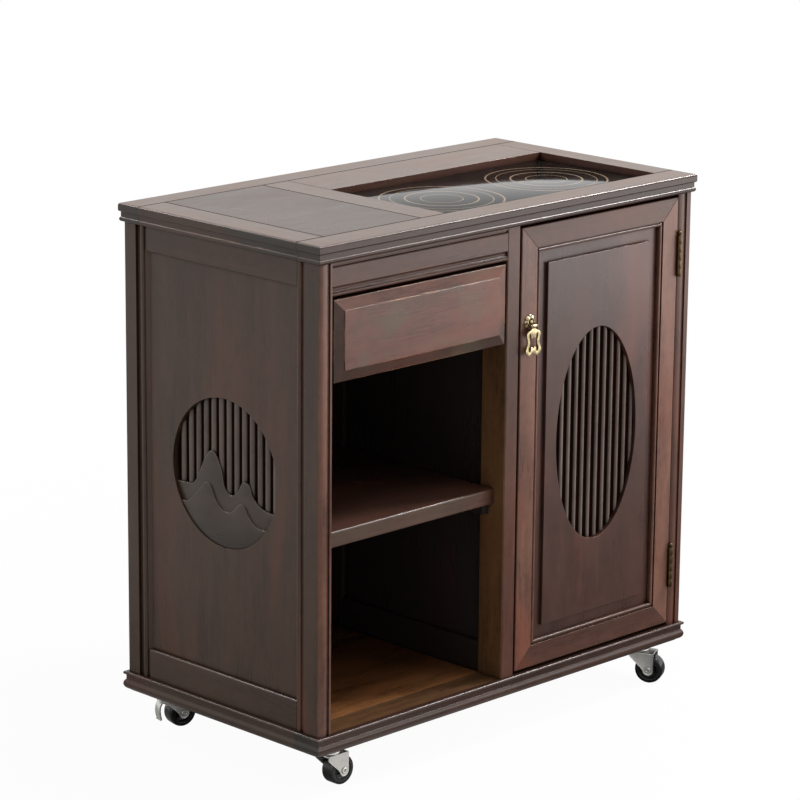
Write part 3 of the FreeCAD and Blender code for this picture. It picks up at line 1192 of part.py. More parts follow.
# Caster plate with its kingpin, drawn about the swivel axis
corner_x = "plate_long / 2"
corner_y = "plate_wide / 2"
round_x = f"{corner_x} - plate_round"
round_y = f"{corner_y} - plate_round"
plate_steps = [
    (f"-({round_x})", f"-({corner_y})"),
    (round_x, f"-({corner_y})"),
    (corner_x, f"-({round_y})", round_x, f"-({round_y})", 1),
    (corner_x, round_y),
    (round_x, corner_y, round_x, round_y, 1),
    (f"-({round_x})", corner_y),
    (f"-({corner_x})", round_y, f"-({round_x})", round_y, 1),
    (f"-({corner_x})", f"-({round_y})"),
]
plate_steps[0] = plate_steps[0] + (f"-({round_x})", f"-({round_y})", 1)
plate_bar = bar("plate_bar", "XY_Plane", plate_steps, "plate_thick")
bind(plate_bar, z=PLATE_LOW)
king_rod = rod("king_rod", "kingpin", f"{PLATE_LOW} - {HEAD_TOP}", z=HEAD_TOP)
king_head = rod("king_head", "kingpin_head", "kingpin_head_thick", z=f"{HEAD_TOP} - kingpin_head_thick")
screw_rooms, screws = [], []
for number, (way_x, way_y) in enumerate(((-1, -1), (1, -1), (1, 1), (-1, 1)), start=1):
    at_x = f"{way_x} * ({corner_x} - screw_inset)"
    at_y = f"{way_y} * ({corner_y} - screw_inset)"
    screw_rooms.append(rod(f"screw_room_{number}", "screw_shank", "plate_thick + 2 * overrun", at_x,
                           at_y, f"{PLATE_LOW} - overrun"))
    shank = rod(f"screw_shank_{number}", "screw_shank", "plate_thick", at_x, at_y, PLATE_LOW)
    head = rod(f"screw_head_{number}", "screw_head", "screw_rise", at_x, at_y, f"{PLATE_LOW} - screw_rise")
    screws.append(fuse(f"screw_{number}", shank, head))
plate = cut("plate", fuse("plate_whole", plate_bar, king_rod, king_head), fuse("screw_rooms", *screw_rooms))
screw_set = group("screw_set", *screws)

# The four casters stand under the corners, each swivelled a little its own way (degrees)
CASTER_X = f"({BODY_X} - caster_inset_long)"
CASTER_Y = f"({BODY_Y} - caster_inset_deep)"
CASTERS = (
    ("front_left", -1, -1, 0, plain_fork),
    ("front_right", 1, -1, -64, plain_fork),
    ("back_left", -1, 1, -12, braked_fork),
    ("back_right", 1, 1, -35, braked_fork),
)
plates, screw_sets = [], []
for corner, way_x, way_y, swivel, fork_kind in CASTERS:
    at = {"x": f"{way_x} * {CASTER_X}", "y": f"{way_y} * {CASTER_Y}"}
    subpart("caster_fork_" + corner, bind(turn(group("caster_fork_" + corner, fork_kind), UP, swivel),
                                          **at))
    subpart("caster_wheel_" + corner, bind(turn(group("caster_wheel_" + corner, wheel), UP, swivel), **at))
    if fork_kind is braked_fork:
        subpart("brake_lever_" + corner, bind(turn(group("brake_lever_" + corner, lever), UP, swivel),
                                              **at))
    plates.append(bind(group("plate_" + corner, plate), **at))
    screw_sets.append(bind(group("screws_" + corner, screw_set), **at))
subpart("caster_plates", group("caster_plates", *plates))
subpart("caster_screws", group("caster_screws", *screw_sets))

# Finish: recompute, look at every object, then write one file for each sub-part
doc.recompute()
faults = [thing.Name for thing in doc.Objects if "Invalid" in thing.State or "Error" in thing.State]
for thing in SUBPARTS:
    if thing.Shape.isNull() or not thing.Shape.isValid() or not thing.Shape.Solids:
        faults.append(thing.Label)
if faults:
    raise RuntimeError("these failed: " + ", ".join(faults))
os.makedirs("parts", exist_ok=True)
for thing in SUBPARTS:
    thing.Shape.exportStep("parts/%s.step" % thing.Label)
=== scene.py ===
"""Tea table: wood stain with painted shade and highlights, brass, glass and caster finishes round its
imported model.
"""

import json
import math

import bmesh
import bpy
from mathutils import Matrix, Vector


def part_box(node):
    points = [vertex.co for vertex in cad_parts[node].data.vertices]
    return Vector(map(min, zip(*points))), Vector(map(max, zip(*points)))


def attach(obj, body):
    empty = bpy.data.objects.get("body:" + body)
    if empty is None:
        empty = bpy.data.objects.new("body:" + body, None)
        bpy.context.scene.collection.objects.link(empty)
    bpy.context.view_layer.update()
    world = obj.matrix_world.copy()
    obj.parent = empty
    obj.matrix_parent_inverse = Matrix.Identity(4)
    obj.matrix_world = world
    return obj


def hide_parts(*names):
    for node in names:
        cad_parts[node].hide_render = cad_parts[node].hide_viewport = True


bl_info = {
    "name": "Tea Table",
    "version": (1, 0, 0),
    "blender": (4, 5, 0),
    "location": "3D View > Sidebar > Tea Table",
    "description": "Finishes and fine pieces of a framed tea table on casters",
    "category": "Object",
}

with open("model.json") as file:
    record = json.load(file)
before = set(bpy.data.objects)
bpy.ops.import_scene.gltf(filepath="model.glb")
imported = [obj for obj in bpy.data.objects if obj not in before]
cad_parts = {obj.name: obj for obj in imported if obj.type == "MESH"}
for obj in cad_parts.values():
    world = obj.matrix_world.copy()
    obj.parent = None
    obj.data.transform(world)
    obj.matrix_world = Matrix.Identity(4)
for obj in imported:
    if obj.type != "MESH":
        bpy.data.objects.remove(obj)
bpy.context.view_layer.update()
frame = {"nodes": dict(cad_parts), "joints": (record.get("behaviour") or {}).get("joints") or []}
MM = 0.001
SAME_PLACE = 1e-6


def tint(red, green, blue):
    """Colour as a painter's chart gives it, 0 to 255, made linear."""
    return tuple(((c / 255 + 0.055) / 1.055) ** 2.4 if c > 10 else c / 255 / 12.92
                 for c in (red, green, blue))


# ---------------------------------------------------------------- sizes and colours
def colour(name, description, *chart):
    """Setting for a colour, given as on a painter's chart."""
    return bpy.props.FloatVectorProperty(name=name, description=description, default=tint(*chart),
                                         subtype="COLOR", size=3, min=0.0, max=1.0)


def length(name, description, millimetres):
    """Setting for a length."""
    return bpy.props.FloatProperty(name=name, description=description, default=millimetres * MM,
                                   min=0.0, unit="LENGTH", precision=5)


def share(name, description, default):
    """Setting for a share from none to all."""
    return bpy.props.FloatProperty(name=name, description=description, default=default,
                                   min=0.0, max=1.0, subtype="FACTOR")


class TeaTableWood(bpy.types.PropertyGroup):
    """Stain, rubbed edges, painted highlight and shade, and gloss of the wood."""

    stain: colour("Stain", "Frame wood where the grain is open", 84, 55, 44)
    stain_deep: colour("Deep stain", "Frame wood where the grain is dense", 54, 34, 28)
    side: colour("Sides", "Side boards where the grain is open", 74, 54, 41)
    side_deep: colour("Sides, deep", "Side boards where the grain is dense", 50, 36, 28)
    top: colour("Top", "Lighter bands of the top boards", 112, 90, 77)
    top_deep: colour("Top, deep", "Darker bands of the top boards", 86, 67, 57)
    panel: colour("Door panel", "Lighter bands of the door panel", 73, 45, 37)
    panel_deep: colour("Door panel, deep", "Darker bands of the door panel", 47, 29, 24)
    slat: colour("Slats", "Lighter bands of the slats", 106, 92, 85)
    slat_deep: colour("Slats, deep", "Darker bands of the slats", 68, 58, 53)
    hill: colour("Hills", "Lighter bands of the carved hills", 66, 56, 47)
    hill_deep: colour("Hills, deep", "Darker bands of the carved hills", 48, 41, 35)
    drawer: colour("Drawer front", "Lighter bands of the drawer front", 108, 69, 56)
    drawer_deep: colour("Drawer front, deep", "Darker bands of the drawer front", 66, 44, 37)
    floor: colour("Bay floor", "Lighter bands of the bay floor", 160, 108, 66)
    floor_deep: colour("Bay floor, deep", "Darker bands of the bay floor", 54, 37, 25)
    shelf: colour("Shelf", "Lighter bands of the shelf", 92, 64, 53)
    shelf_deep: colour("Shelf, deep", "Darker bands of the shelf", 58, 40, 34)
    inside: colour("Inside", "Lighter bands of the wood inside", 104, 73, 48)
    inside_deep: colour("Inside, deep", "Darker bands of the wood inside", 66, 45, 30)
    # back panel and divider, dark and grey: painted shade deep in the bay
    back: colour("Back", "Lighter bands of the back panel", 48, 43, 42)
    back_deep: colour("Back, deep", "Darker bands of the back panel", 42, 37, 35)
    flank: colour("Post flank", "Lighter bands of the post beside the bay", 122, 88, 56)
    flank_deep: colour("Post flank, deep", "Darker bands of the post beside the bay", 74, 53, 36)
    # faces that look left on the top and base: darker and greener, partly end grain and partly painted
    # shade, as the left side lies away from the lamps
    end: colour("Board ends", "Lighter bands of the board ends at the left", 54, 47, 40)
    end_deep: colour("Board ends, deep", "Darker bands of the board ends at the left", 34, 30, 26)
    lip: colour("Bay lip", "Lighter bands of the base in front of the bay", 99, 70, 46)
    lip_deep: colour("Bay lip, deep", "Darker bands of the base in front of the bay", 37, 28, 23)
    moss: colour("Green patches", "Colour of the greener patches of the stain", 78, 76, 58)
    # pale rim: painted highlight along carved edges, the windows' rims and the base's front mouldings
    rim: colour("Carved rim", "Pale rim of a carved edge", 168, 158, 144)
    red: colour("Red streaks", "Colour of the redder streaks", 122, 64, 46)
    worn_or_highlight: colour("Worn edge", "Bare wood where an edge is rubbed", 196, 140, 98)
    joint: colour("Joint line", "Dark line where two boards meet", 30, 20, 17)
    leaf: colour("Top panel", "Lighter bands of the panel in the top", 82, 63, 52)
    leaf_deep: colour("Top panel, deep", "Darker bands of the panel in the top", 60, 46, 38)
    stile: colour("Front stiles", "Lighter bands of the front posts and door stiles", 114, 78, 64)
    stile_deep: colour("Front stiles, deep", "Darker bands of the front posts and door stiles", 66, 44, 37)
    brow: colour("Top moulding", "Lighter bands of the moulding under the top", 64, 43, 35)
    brow_deep: colour("Top moulding, deep", "Darker bands of the moulding under the top", 40, 27, 22)
    # sideways and downward bevels of the drawer front, darker: painted shade
    slant: colour("Drawer bevel", "Lighter bands of the drawer's bevels", 58, 46, 41)
    slant_deep: colour("Drawer bevel, deep", "Darker bands of the drawer's bevels", 38, 30, 27)
    gloss: share("Gloss", "Roughness of the lacquer", 0.28)
    edge: length("Edge", "Softening of the arrises", 0.7)


class TeaTableMetal(bpy.types.PropertyGroup):
    """Metals, wheels and glass."""

    brass: colour("Brass", "Bright places of the pull", 178, 162, 126)
    brass_dark: colour("Tarnish", "Tarnish in the hollows of the pull", 62, 46, 30)
    hinge: colour("Hinges", "Bright places of the hinges", 96, 80, 56)
    hinge_dark: colour("Hinges, deep", "Tarnish of the hinges", 36, 28, 20)
    zinc: colour("Zinc", "Zinc plating of the casters", 214, 212, 208)
    zinc_dark: colour("Zinc, deep", "Hollows of the zinc plating", 96, 95, 92)
    steel: colour("Steel", "Plain steel", 150, 150, 150)
    wheel: colour("Wheels", "Hard nylon of the wheels", 12, 12, 13)
    glass: colour("Glass", "Printed glass plate", 20, 18, 16)
    ring: colour("Rings", "Rings printed on the glass plate", 150, 128, 104)


class TeaTableStage(bpy.types.PropertyGroup):
    """Camera, lamps and floor."""

    lens: bpy.props.FloatProperty(name="Lens", description="Focal length in millimetres",
                                  default=157.78, min=1.0)
    eye: bpy.props.FloatVectorProperty(name="Eye", description="Place of the camera", subtype="TRANSLATION",
                                       unit="LENGTH", size=3, default=(-3.43695, -3.39935, 1.70059))
    round_angle: bpy.props.FloatProperty(name="Round", description="Angle of the camera round the table",
                                         subtype="ANGLE", default=math.radians(-45.1019))
    height_angle: bpy.props.FloatProperty(name="Height", description="Angle of the camera above the horizon",
                                          subtype="ANGLE", default=math.radians(14.4526))
    roll: bpy.props.FloatProperty(name="Roll", description="Roll of the camera", subtype="ANGLE",
                                  default=math.radians(0.52497))
    floor: colour("Floor", "Pale floor", 206, 205, 203)
    lamp: bpy.props.FloatProperty(name="Lamp", description="Level of the soft lamps",
                                  default=1.0, min=0.0)


# ---------------------------------------------------------------- materials
class Wire:
    """A value on its way through a material. Sums on it add Math nodes."""

    def __init__(self, look, socket):
        self.look = look
        self.socket = socket

    def pin(self, name):
        """Another outlet of the same node."""
        return Wire(self.look, self.socket.node.outputs[name])

    def math(self, operation, *terms):
        """One Math node."""
        return self.look.add("ShaderNodeMath", {"operation": operation}, dict(enumerate(terms)))

    def __add__(self, other):
        return self.math("ADD", self, other)

    __radd__ = __add__

    def __sub__(self, other):
        return self.math("SUBTRACT", self, other)

    def __rsub__(self, other):
        return self.math("SUBTRACT", other, self)

    def __mul__(self, other):
        return self.math("MULTIPLY", self, other)

    __rmul__ = __mul__

    def __pow__(self, other):
        return self.math("POWER", self, other)

    def __rpow__(self, other):
        return self.math("POWER", other, self)

    def __abs__(self):
        return self.math("ABSOLUTE", self)

    def __neg__(self):
        return self.math("MULTIPLY", self, -1.0)

    def upper(self, other):
        """The greater of two values."""
        return self.math("MAXIMUM", self, other)

    def ease(self, low, high, start=0.0, end=1.0):
        """Goes smoothly from start to end between two values."""
        return self.look.add("ShaderNodeMapRange", {"interpolation_type": "SMOOTHSTEP"},
                             {0: self, 1: low, 2: high, 3: start, 4: end})


class Look:
    """A material or a sky under way, with one way to put a node in it."""

    def __init__(self, name, store="materials", last="ShaderNodeOutputMaterial"):
        self.material = getattr(bpy.data, store).new(name)
        self.last = last
        self.material.use_nodes = True
        tree = self.material.node_tree
        self.nodes, self.links = tree.nodes, tree.links
        self.nodes.clear()

    def add(self, kind, settings=None, sockets=None, out=0):
        """A node of a kind, its settings first, then the values or links of its sockets."""
        node = self.nodes.new(kind)
        for name, choice in (settings or {}).items():
            setattr(node, name, choice)
        for key, term in (sockets or {}).items():
            socket = node.inputs[key]
            if isinstance(term, Wire):
                self.links.new(term.socket, socket)
            elif socket.type == "RGBA" and len(term) == 3:
                socket.default_value = (*term, 1.0)
            else:
                socket.default_value = term
        return Wire(self, node.outputs[out])

    def place(self):
        """The piece's own coordinates."""
        return self.add("ShaderNodeTexCoord").pin("Object")

    def moved(self, place, shift=(0, 0, 0), scale=(1, 1, 1)):
        """Coordinates shifted and stretched."""
        return self.add("ShaderNodeMapping", {}, {"Vector": place, "Location": shift, "Scale": scale})

    def split(self, place):
        """The three parts of a vector."""
        axes = self.add("ShaderNodeSeparateXYZ", {}, {0: place})
        return axes.pin("X"), axes.pin("Y"), axes.pin("Z")

    def noise(self, place, scale=1.0, detail=2.0, rough=0.5, warp=0.0):
        """Cloudy values, with so many clouds to the metre."""
        return self.add("ShaderNodeTexNoise", {}, {"Vector": place, "Scale": scale, "Detail": detail,
                                                   "Roughness": rough, "Distortion": warp})

    def mix(self, factor, first, second, way="MIX"):
        """The first colour turned into the second as far as the factor says."""
        return self.add("ShaderNodeMix", {"data_type": "RGBA", "blend_type": way},
                        {0: factor, 6: first, 7: second}, out=2)

    def darken(self, factor, shade, by):
        """A colour multiplied by another as far as the factor says."""
        return self.mix(factor, shade, self.mix(1.0, shade, by, "MULTIPLY"))

    def bevel(self, radius):
        """Normals that turn softly over the edges."""
        return self.add("ShaderNodeBevel", {"samples": 4}, {"Radius": radius})

    def bump(self, height, strength, distance, normal=None):
        """Normals that follow a height."""
        sockets = {"Height": height, "Strength": strength, "Distance": distance}
        if normal is not None:
            sockets["Normal"] = normal
        return self.add("ShaderNodeBump", {}, sockets)

    def surface(self, **sockets):
        """Ends the material in one shader with these inputs."""
        self.end(self.principled(**sockets))
        return self.material

    def principled(self, **sockets):
        """A Principled shader with these inputs."""
        return self.add("ShaderNodeBsdfPrincipled", {},
                        {name.replace("_", " "): term for name, term in sockets.items()})

    def end(self, shader):
        """Puts a shader on the surface."""
        node = self.nodes.new(self.last)
        self.links.new(shader.socket, node.inputs["Surface"])


# how the three kinds of pattern stretch along the grain, for each axis
GRAIN = {"X": (1.0, 12.0, 12.0), "Y": (12.0, 1.0, 12.0), "Z": (12.0, 12.0, 1.0)}
FIBRE = {"X": (1.0, 28.0, 28.0), "Y": (28.0, 1.0, 28.0), "Z": (28.0, 28.0, 1.0)}
CLOUD = {axis: tuple(step ** 0.5 for step in steps) for axis, steps in GRAIN.items()}
# what stays of each colour where the wood darkens: painted shade deep in the bay, the hairs and pores of the
# grain, and painted shade in creases
DEPTH_SHADE, HAIR, PORE, CREASE_SHADE = (0.2, 0.17, 0.15), (0.55, 0.5, 0.48), (0.35, 0.32, 0.3), (0.13, 0.12, 0.12)
# between these shares a face counts as looking one way
TOWARDS = (0.6, 0.9)
# reach of the painted shade in creases
CREASE_SHADE_REACH = 9.0 * MM
# a dark line fades out between these distances from its middle
JOINT_HALF = (0.8 * MM, 1.6 * MM)
MITRE_HALF = (0.3 * MM, 0.9 * MM)
# the sill keeps its own stain between these places, front to back
SILL_FRONT, SILL_BACK = -190.5 * MM, 200.0 * MM


def either(first, second):
    """The greater of two values, where the first may be missing."""
    return second if first is None else first.upper(second)


def sunk(axis, face, outer, inner, back=0.0):
    """Painted shadow of a hollow, which darkens between two depths in millimetres under a face, as wood()
    takes it.
    """
    return axis, face - inner * MM, face - outer * MM, back


def wood(name, light, deep, along, shift, red, wear_or_highlight, joints=(), mitre=None, edges=None, hollow=None,
         edge=None, streak=1.0, within=(), left=None, moss=0.0, worn_or_highlight=None, least_wear_or_highlight=0.0, slant=None,
         depth_shade=None, lacquer=0.34):
    """Stained wood with its grain along one axis.

    shift moves the grain on, so that no two boards look alike. red is the share of redder patches, and
    wear_or_highlight how far the edges are rubbed, or lit with a painted highlight where the pale rim
    colour is given.
    joints are planes (axis, place) that show as dark lines, and mitre the two spans (axis, middle, half)
    of a frame whose corners meet at an angle. edges is the light and deep stain of faces that don't look
    up, and within the spans (axis, low, high) that the stain of upward faces keeps to. left is the stain
    of faces that look left, on the top and the base partly end grain and partly painted shade, and
    slant the painted shade of bevels that look sideways or down. hollow is an axis, the two depths
    between which the wood turns dark and matt as painted shadow, and the depth of the board's back, which
    stays light. depth_shade is an axis, the two places between which the wood darkens as painted shade,
    and how much. moss is the share of greener patches. edge is how wide the softened edges are,
    worn_or_highlight the colour of rubbed edges or of a painted highlight, and least_wear_or_highlight the
    least share of each edge that is rubbed or painted so. streak is how strongly the grain shows, and
    lacquer how strongly the surface mirrors. Creases always get painted shade.
    """
    tones = bpy.context.scene.tea_wood
    look = Look(name)
    place = look.place()
    across = dict(zip("XYZ", look.split(place)))
    seat = look.moved(place, shift=(shift, shift * 0.7, shift * 1.3))
    grain = look.moved(seat, scale=GRAIN[along])
    fibre = look.moved(seat, scale=FIBRE[along])
    cloudy = look.moved(seat, scale=CLOUD[along])
    drift = look.noise(cloudy, 5.0, 3.0, 0.55)
    bands = look.noise(grain, 4.0, 5.0, 0.62, 0.35)
    lines = look.noise(grain, 24.0, 3.0, 0.6, 0.1)
    hairs = look.noise(fibre, 55.0, 2.0, 0.7)
    pores = look.noise(fibre, 34.0, 1.0, 0.5).ease(0.62, 0.72)
    mottle = look.noise(seat, 70.0, 3.0, 0.6)
    tone = (bands.ease(0.25, 0.75) * (0.34 * streak) + lines.ease(0.3, 0.7) * (0.16 * streak)
            + drift.ease(0.3, 0.7) * 0.36 + mottle.ease(0.3, 0.7) * 0.2)
    facing = look.add("ShaderNodeNewGeometry").pin("Normal")

    # the stain, and what changes it from face to face and from place to place; painted shade darkens the
    # left faces of the top and base, sideways bevels and the back of the bay
    shade = look.mix(tone, deep, light)
    if edges:
        upward = look.split(facing)[2].ease(*TOWARDS)
        for axis, low, high in within:
            upward = upward * across[axis].ease(low, low + MM)
            upward = upward * across[axis].ease(high - MM, high, 1.0, 0.0)
        shade = look.mix(upward, look.mix(tone, edges[1], edges[0]), shade)
    # faces that look left take their own stain; on the top and base it is darker and greener, partly end
    # grain and partly painted shade
    if left:
        leftward = (-look.split(facing)[0]).ease(*TOWARDS)
        shade = look.mix(leftward, shade, look.mix(tone, left[1], left[0]))
    # painted shade: bevels that look sideways or down take a darker stain
    if slant:
        tilt, nod = look.split(facing)[1:]
        bevel = (-tilt).ease(0.95, 0.985, 1.0, 0.0) * nod.ease(0.1, 0.3, 1.0, 0.0)
        shade = look.mix(bevel, shade, look.mix(tone, slant[1], slant[0]))
    # painted shade: the wood darkens towards the back of the bay
    if depth_shade:
        axis, near, far, most = depth_shade
        shade = look.darken(across[axis].ease(near, far) * most, shade, DEPTH_SHADE)
    if moss:
        patch = look.noise(look.moved(seat, shift=(1.3, 0.2, 2.4)), 16.0, 4.0, 0.6, 0.5)
        shade = look.mix(patch.ease(0.5, 0.62) * moss, shade, tuple(tones.moss))
    ruddy = look.noise(look.moved(seat, shift=(3.1, 1.7, 0.4), scale=CLOUD[along]), 3.2, 3.0, 0.6, 0.4)
    shade = look.mix(ruddy.ease(0.46, 0.7) * red, shade, tuple(tones.red))
    shade = look.darken(hairs.ease(0.3, 0.75, 0.0, 0.2 * streak), shade, HAIR)
    shade = look.darken(pores * (0.14 * streak), shade, PORE)

    # rubbed edges and painted highlights on edges, painted shade in creases, and painted shadow behind the
    # slats
    soft = look.bevel(edge or tones.edge)
    bend = look.add("ShaderNodeVectorMath", {"operation": "DOT_PRODUCT"}, {0: soft, 1: facing}, out=1)
    arris = (1.0 - bend).ease(0.01, 0.16)
    # edges rubbed to bare wood in the tan colour; where the pale rim colour is given, the same mask is a
    # painted highlight along the edges
    patches = look.noise(seat, 14.0, 4.0, 0.65).ease(0.44, 0.62).upper(least_wear_or_highlight)
    shade = look.mix(arris * patches * wear_or_highlight, shade, worn_or_highlight or tuple(tones.worn_or_highlight))
    # painted shade: the wood darkens and turns matt where ambient occlusion finds a crease or corner
    crease_shade = look.add("ShaderNodeAmbientOcclusion", {"samples": 5}, {"Distance": CREASE_SHADE_REACH}, out=1)
    shade_and_joints = crease_shade.ease(0.25, 0.85, 0.8, 0.0)
    # painted shadow: the wood darkens and turns matt between two depths of a hollow, behind the slats and in
    # the wells
    if hollow:
        axis, inner, outer, back = hollow
        depth = abs(across[axis])
        shade_and_joints = shade_and_joints.upper(depth.ease(inner, outer, 1.0, 0.0) * depth.ease(back, back + 0.5 * MM))
    shade = look.darken(shade_and_joints, shade, CREASE_SHADE)

    # lines where boards meet
    line = None
    for axis, where in joints:
        line = either(line, abs(across[axis] - where).ease(*JOINT_HALF, 1.0, 0.0))
    if line is not None:
        line = line * look.split(facing)[2].ease(*TOWARDS, 0.35, 1.0)
    if mitre:
        (first, middle, half), (second, level, tall) = mitre
        gap = (abs(across[first] - middle) - half) - (abs(across[second] - level) - tall)
        line = either(line, abs(gap).ease(*MITRE_HALF, 0.55, 0.0))
    if line is not None:
        shade = look.mix(line, shade, tuple(tones.joint))
        shade_and_joints = shade_and_joints.upper(line * 0.9)

    # gloss and relief; the painted shade in hollows and creases and the dark joint lines stay matt, so that
    # they mirror nothing
    sheen = drift.ease(0.2, 0.8, tones.gloss - 0.04, tones.gloss + 0.05)
    sheen = sheen + lines.ease(0.3, 0.8, 0.0, 0.05)
    wavy = look.noise(seat, 9.0, 2.0, 0.5)
    relief = look.bump(wavy, 0.16, 4.0 * MM, soft)
    relief = look.bump(lines * 0.5 + hairs * 0.5, 0.05 * streak, 0.3 * MM, relief)
    if line is not None:
        relief = look.bump(1.0 - line, 0.5, 0.6 * MM, relief)
    lacquered = look.principled(Base_Color=shade, Roughness=sheen, Normal=relief,
                                Specular_IOR_Level=lacquer)
    bare = look.principled(Base_Color=shade, Roughness=1.0, Normal=relief, Specular_IOR_Level=0.0)
    look.end(look.add("ShaderNodeMixShader", {}, {0: shade_and_joints, 1: lacquered, 2: bare}))
    return look.material


def metal(name, bright, dark, rough, rub):
    """Worn metal, darker where it is seldom touched."""
    look = Look(name)
    place = look.place()
    cloud = look.noise(place, 90.0, 4.0, 0.6)
    specks = look.noise(place, 900.0, 2.0, 0.6)
    hollow = look.add("ShaderNodeAmbientOcclusion", {"samples": 6, "only_local": True},
                      {"Distance": 4.0 * MM}, out=1)
    dull = (hollow.ease(0.45, 0.95, 1.0, 0.0).upper(cloud.ease(0.52, 0.8, 0.0, 0.7))) * rub
    shade = look.mix(dull, bright, dark)
    relief = look.bump(specks * 0.5 + cloud * 0.5, 0.12, 0.2 * MM, look.bevel(0.3 * MM))
    sheen = cloud.ease(0.3, 0.75, rough - 0.06, rough + 0.1) + dull * 0.2
    return look.surface(Base_Color=shade, Metallic=1.0, Roughness=sheen, Normal=relief)


def nylon(name, shade):
    """Hard dark nylon with a little dust."""
    look = Look(name)
    place = look.place()
    cloud = look.noise(place, 120.0, 3.0, 0.6)
    dust = look.noise(place, 700.0, 2.0, 0.7).ease(0.6, 0.8)
    tone = look.mix(dust * 0.05, shade, (0.12, 0.115, 0.11))
    relief = look.bump(cloud, 0.1, 0.2 * MM, look.bevel(0.4 * MM))
    sheen = cloud.ease(0.3, 0.7, 0.14, 0.24) + dust * 0.1
    return look.surface(Base_Color=tone, Roughness=sheen, Normal=relief)


def ringed_glass(name, centres, rings):
    """Dark glossy plate with plain rings, of (radius, half width), printed round each centre."""
    tones = bpy.context.scene.tea_metal
    look = Look(name)
    x, y = look.split(look.place())[:2]
    ink = None
    for across, along in centres:
        reach = ((x - across) ** 2.0 + (y - along) ** 2.0) ** 0.5
        for radius, wide in rings:
            ink = either(ink, abs(reach - radius).ease(wide, wide + 0.5 * MM, 1.0, 0.0))
    film = look.noise(look.place(), 40.0, 3.0, 0.6)
    shade = look.mix(film * 0.5, tuple(tones.glass), (0.02, 0.018, 0.016))
    shade = look.mix(ink * 0.85, shade, tuple(tones.ring))
    relief = look.bump(film, 0.02, MM)
    sheen = film.ease(0.3, 0.8, 0.06, 0.12) + ink * 0.1
    return look.surface(Base_Color=shade, Roughness=sheen, Normal=relief, Specular_IOR_Level=0.25)


# ---------------------------------------------------------------- meshes
def piece(name, bm, body, material, replaces, sharp=35.0):
    """Turns a finished mesh under way into a piece that rides with a body."""
    bmesh.ops.remove_doubles(bm, verts=bm.verts, dist=SAME_PLACE)
    bmesh.ops.recalc_face_normals(bm, faces=bm.faces)
    mesh = bpy.data.meshes.new(name)
    bm.to_mesh(mesh)
    bm.free()
    mesh.shade_smooth()
    mesh.set_sharp_from_angle(angle=math.radians(sharp))
    mesh.materials.append(material)
    thing = bpy.data.objects.new(name, mesh)
    bpy.context.scene.collection.objects.link(thing)
    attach(thing, body)
    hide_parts(*replaces)


def in_metres(points):
    """Points given in millimetres."""
    return [(across * MM, up * MM) for across, up in points]


def mirrored(points):
    """The same points upside down, from the last back to the first."""
    return tuple((across, -up) for across, up in reversed(points))


def quarter(axis):
    """A quarter turn round an axis."""
    return Matrix.Rotation(math.pi / 2, 4, axis)


def turned(bm, profile, steps, where):
    """Spins a profile of (radius, height) points round the Z axis of a place."""
    start = [bm.verts.new(where @ Vector((radius, 0.0, height))) for radius, height in profile]
    edges = [bm.edges.new(pair) for pair in zip(start, start[1:])]
    bmesh.ops.spin(bm, geom=start + edges, cent=where @ Vector(), axis=where.to_3x3() @ Vector((0, 0, 1)),
                   angle=math.tau, steps=steps, use_merge=True)


def plate(bm, points, deep, where, bevel=0.0):
    """Flat outline of (x, z) points, drawn out along Y by a depth, with eased edges."""
    loop = [bm.verts.new(where @ Vector((x, 0.0, z))) for x, z in points]
    face = bm.faces.new(loop)
    drawn = bmesh.ops.extrude_face_region(bm, geom=[face])
    moved = [item for item in drawn["geom"] if isinstance(item, bmesh.types.BMVert)]
    bmesh.ops.translate(bm, vec=where.to_3x3() @ Vector((0.0, deep, 0.0)), verts=moved)
    if bevel:
        rims = [edge for edge in bm.edges if any(all(vert in side for vert in edge.verts)
                                                 for side in (loop, moved))]
        bmesh.ops.bevel(bm, geom=rims, offset=bevel, offset_type="OFFSET", segments=2, profile=0.5,
                        affect="EDGES", material=-1, clamp_overlap=True)


def eased(node, offset, segments=2):
    """Mesh under way with a solid's own shape and its sharp edges eased."""
    bm = bmesh.new()
    bm.from_mesh(frame["nodes"][node].data)
    bmesh.ops.remove_doubles(bm, verts=bm.verts, dist=SAME_PLACE)
    bmesh.ops.dissolve_limit(bm, angle_limit=math.radians(1.0), verts=bm.verts, edges=bm.edges)
    sharp = [edge for edge in bm.edges
             if len(edge.link_faces) == 2 and edge.calc_face_angle(0.0) > math.radians(38.0)]
    bmesh.ops.bevel(bm, geom=sharp, offset=offset, offset_type="OFFSET", segments=segments, profile=0.5,
                    affect="EDGES", material=-1, clamp_overlap=True)
    bmesh.ops.triangulate(bm, faces=[face for face in bm.faces if len(face.verts) > 4])
    return bm


def round_points(across, up, radius, first, last, count):
    """Points of an arc between two angles in degrees."""
    angles = [math.radians(first + (last - first) * n / count) for n in range(count + 1)]
    return [(across + radius * math.cos(angle), up + radius * math.sin(angle)) for angle in angles]


def joint(name):
    """A joint of the frame by its name."""
    return next(entry for entry in frame["joints"] if entry["name"] == name)


def corner_place(corner):
    """Turn and place of a caster: its swivel axis at the origin, the wheel trailing along X."""
    swivel = Vector(joint("swivel_" + corner)["pos_m"])
    axle = Vector(joint("roll_" + corner)["pos_m"])
    angle = math.atan2(axle.y - swivel.y, axle.x - swivel.x)
    return Matrix.Translation((swivel.x, swivel.y, 0.0)) @ Matrix.Rotation(angle, 4, "Z")


CORNERS = ("front_left", "front_right", "back_left", "back_right")


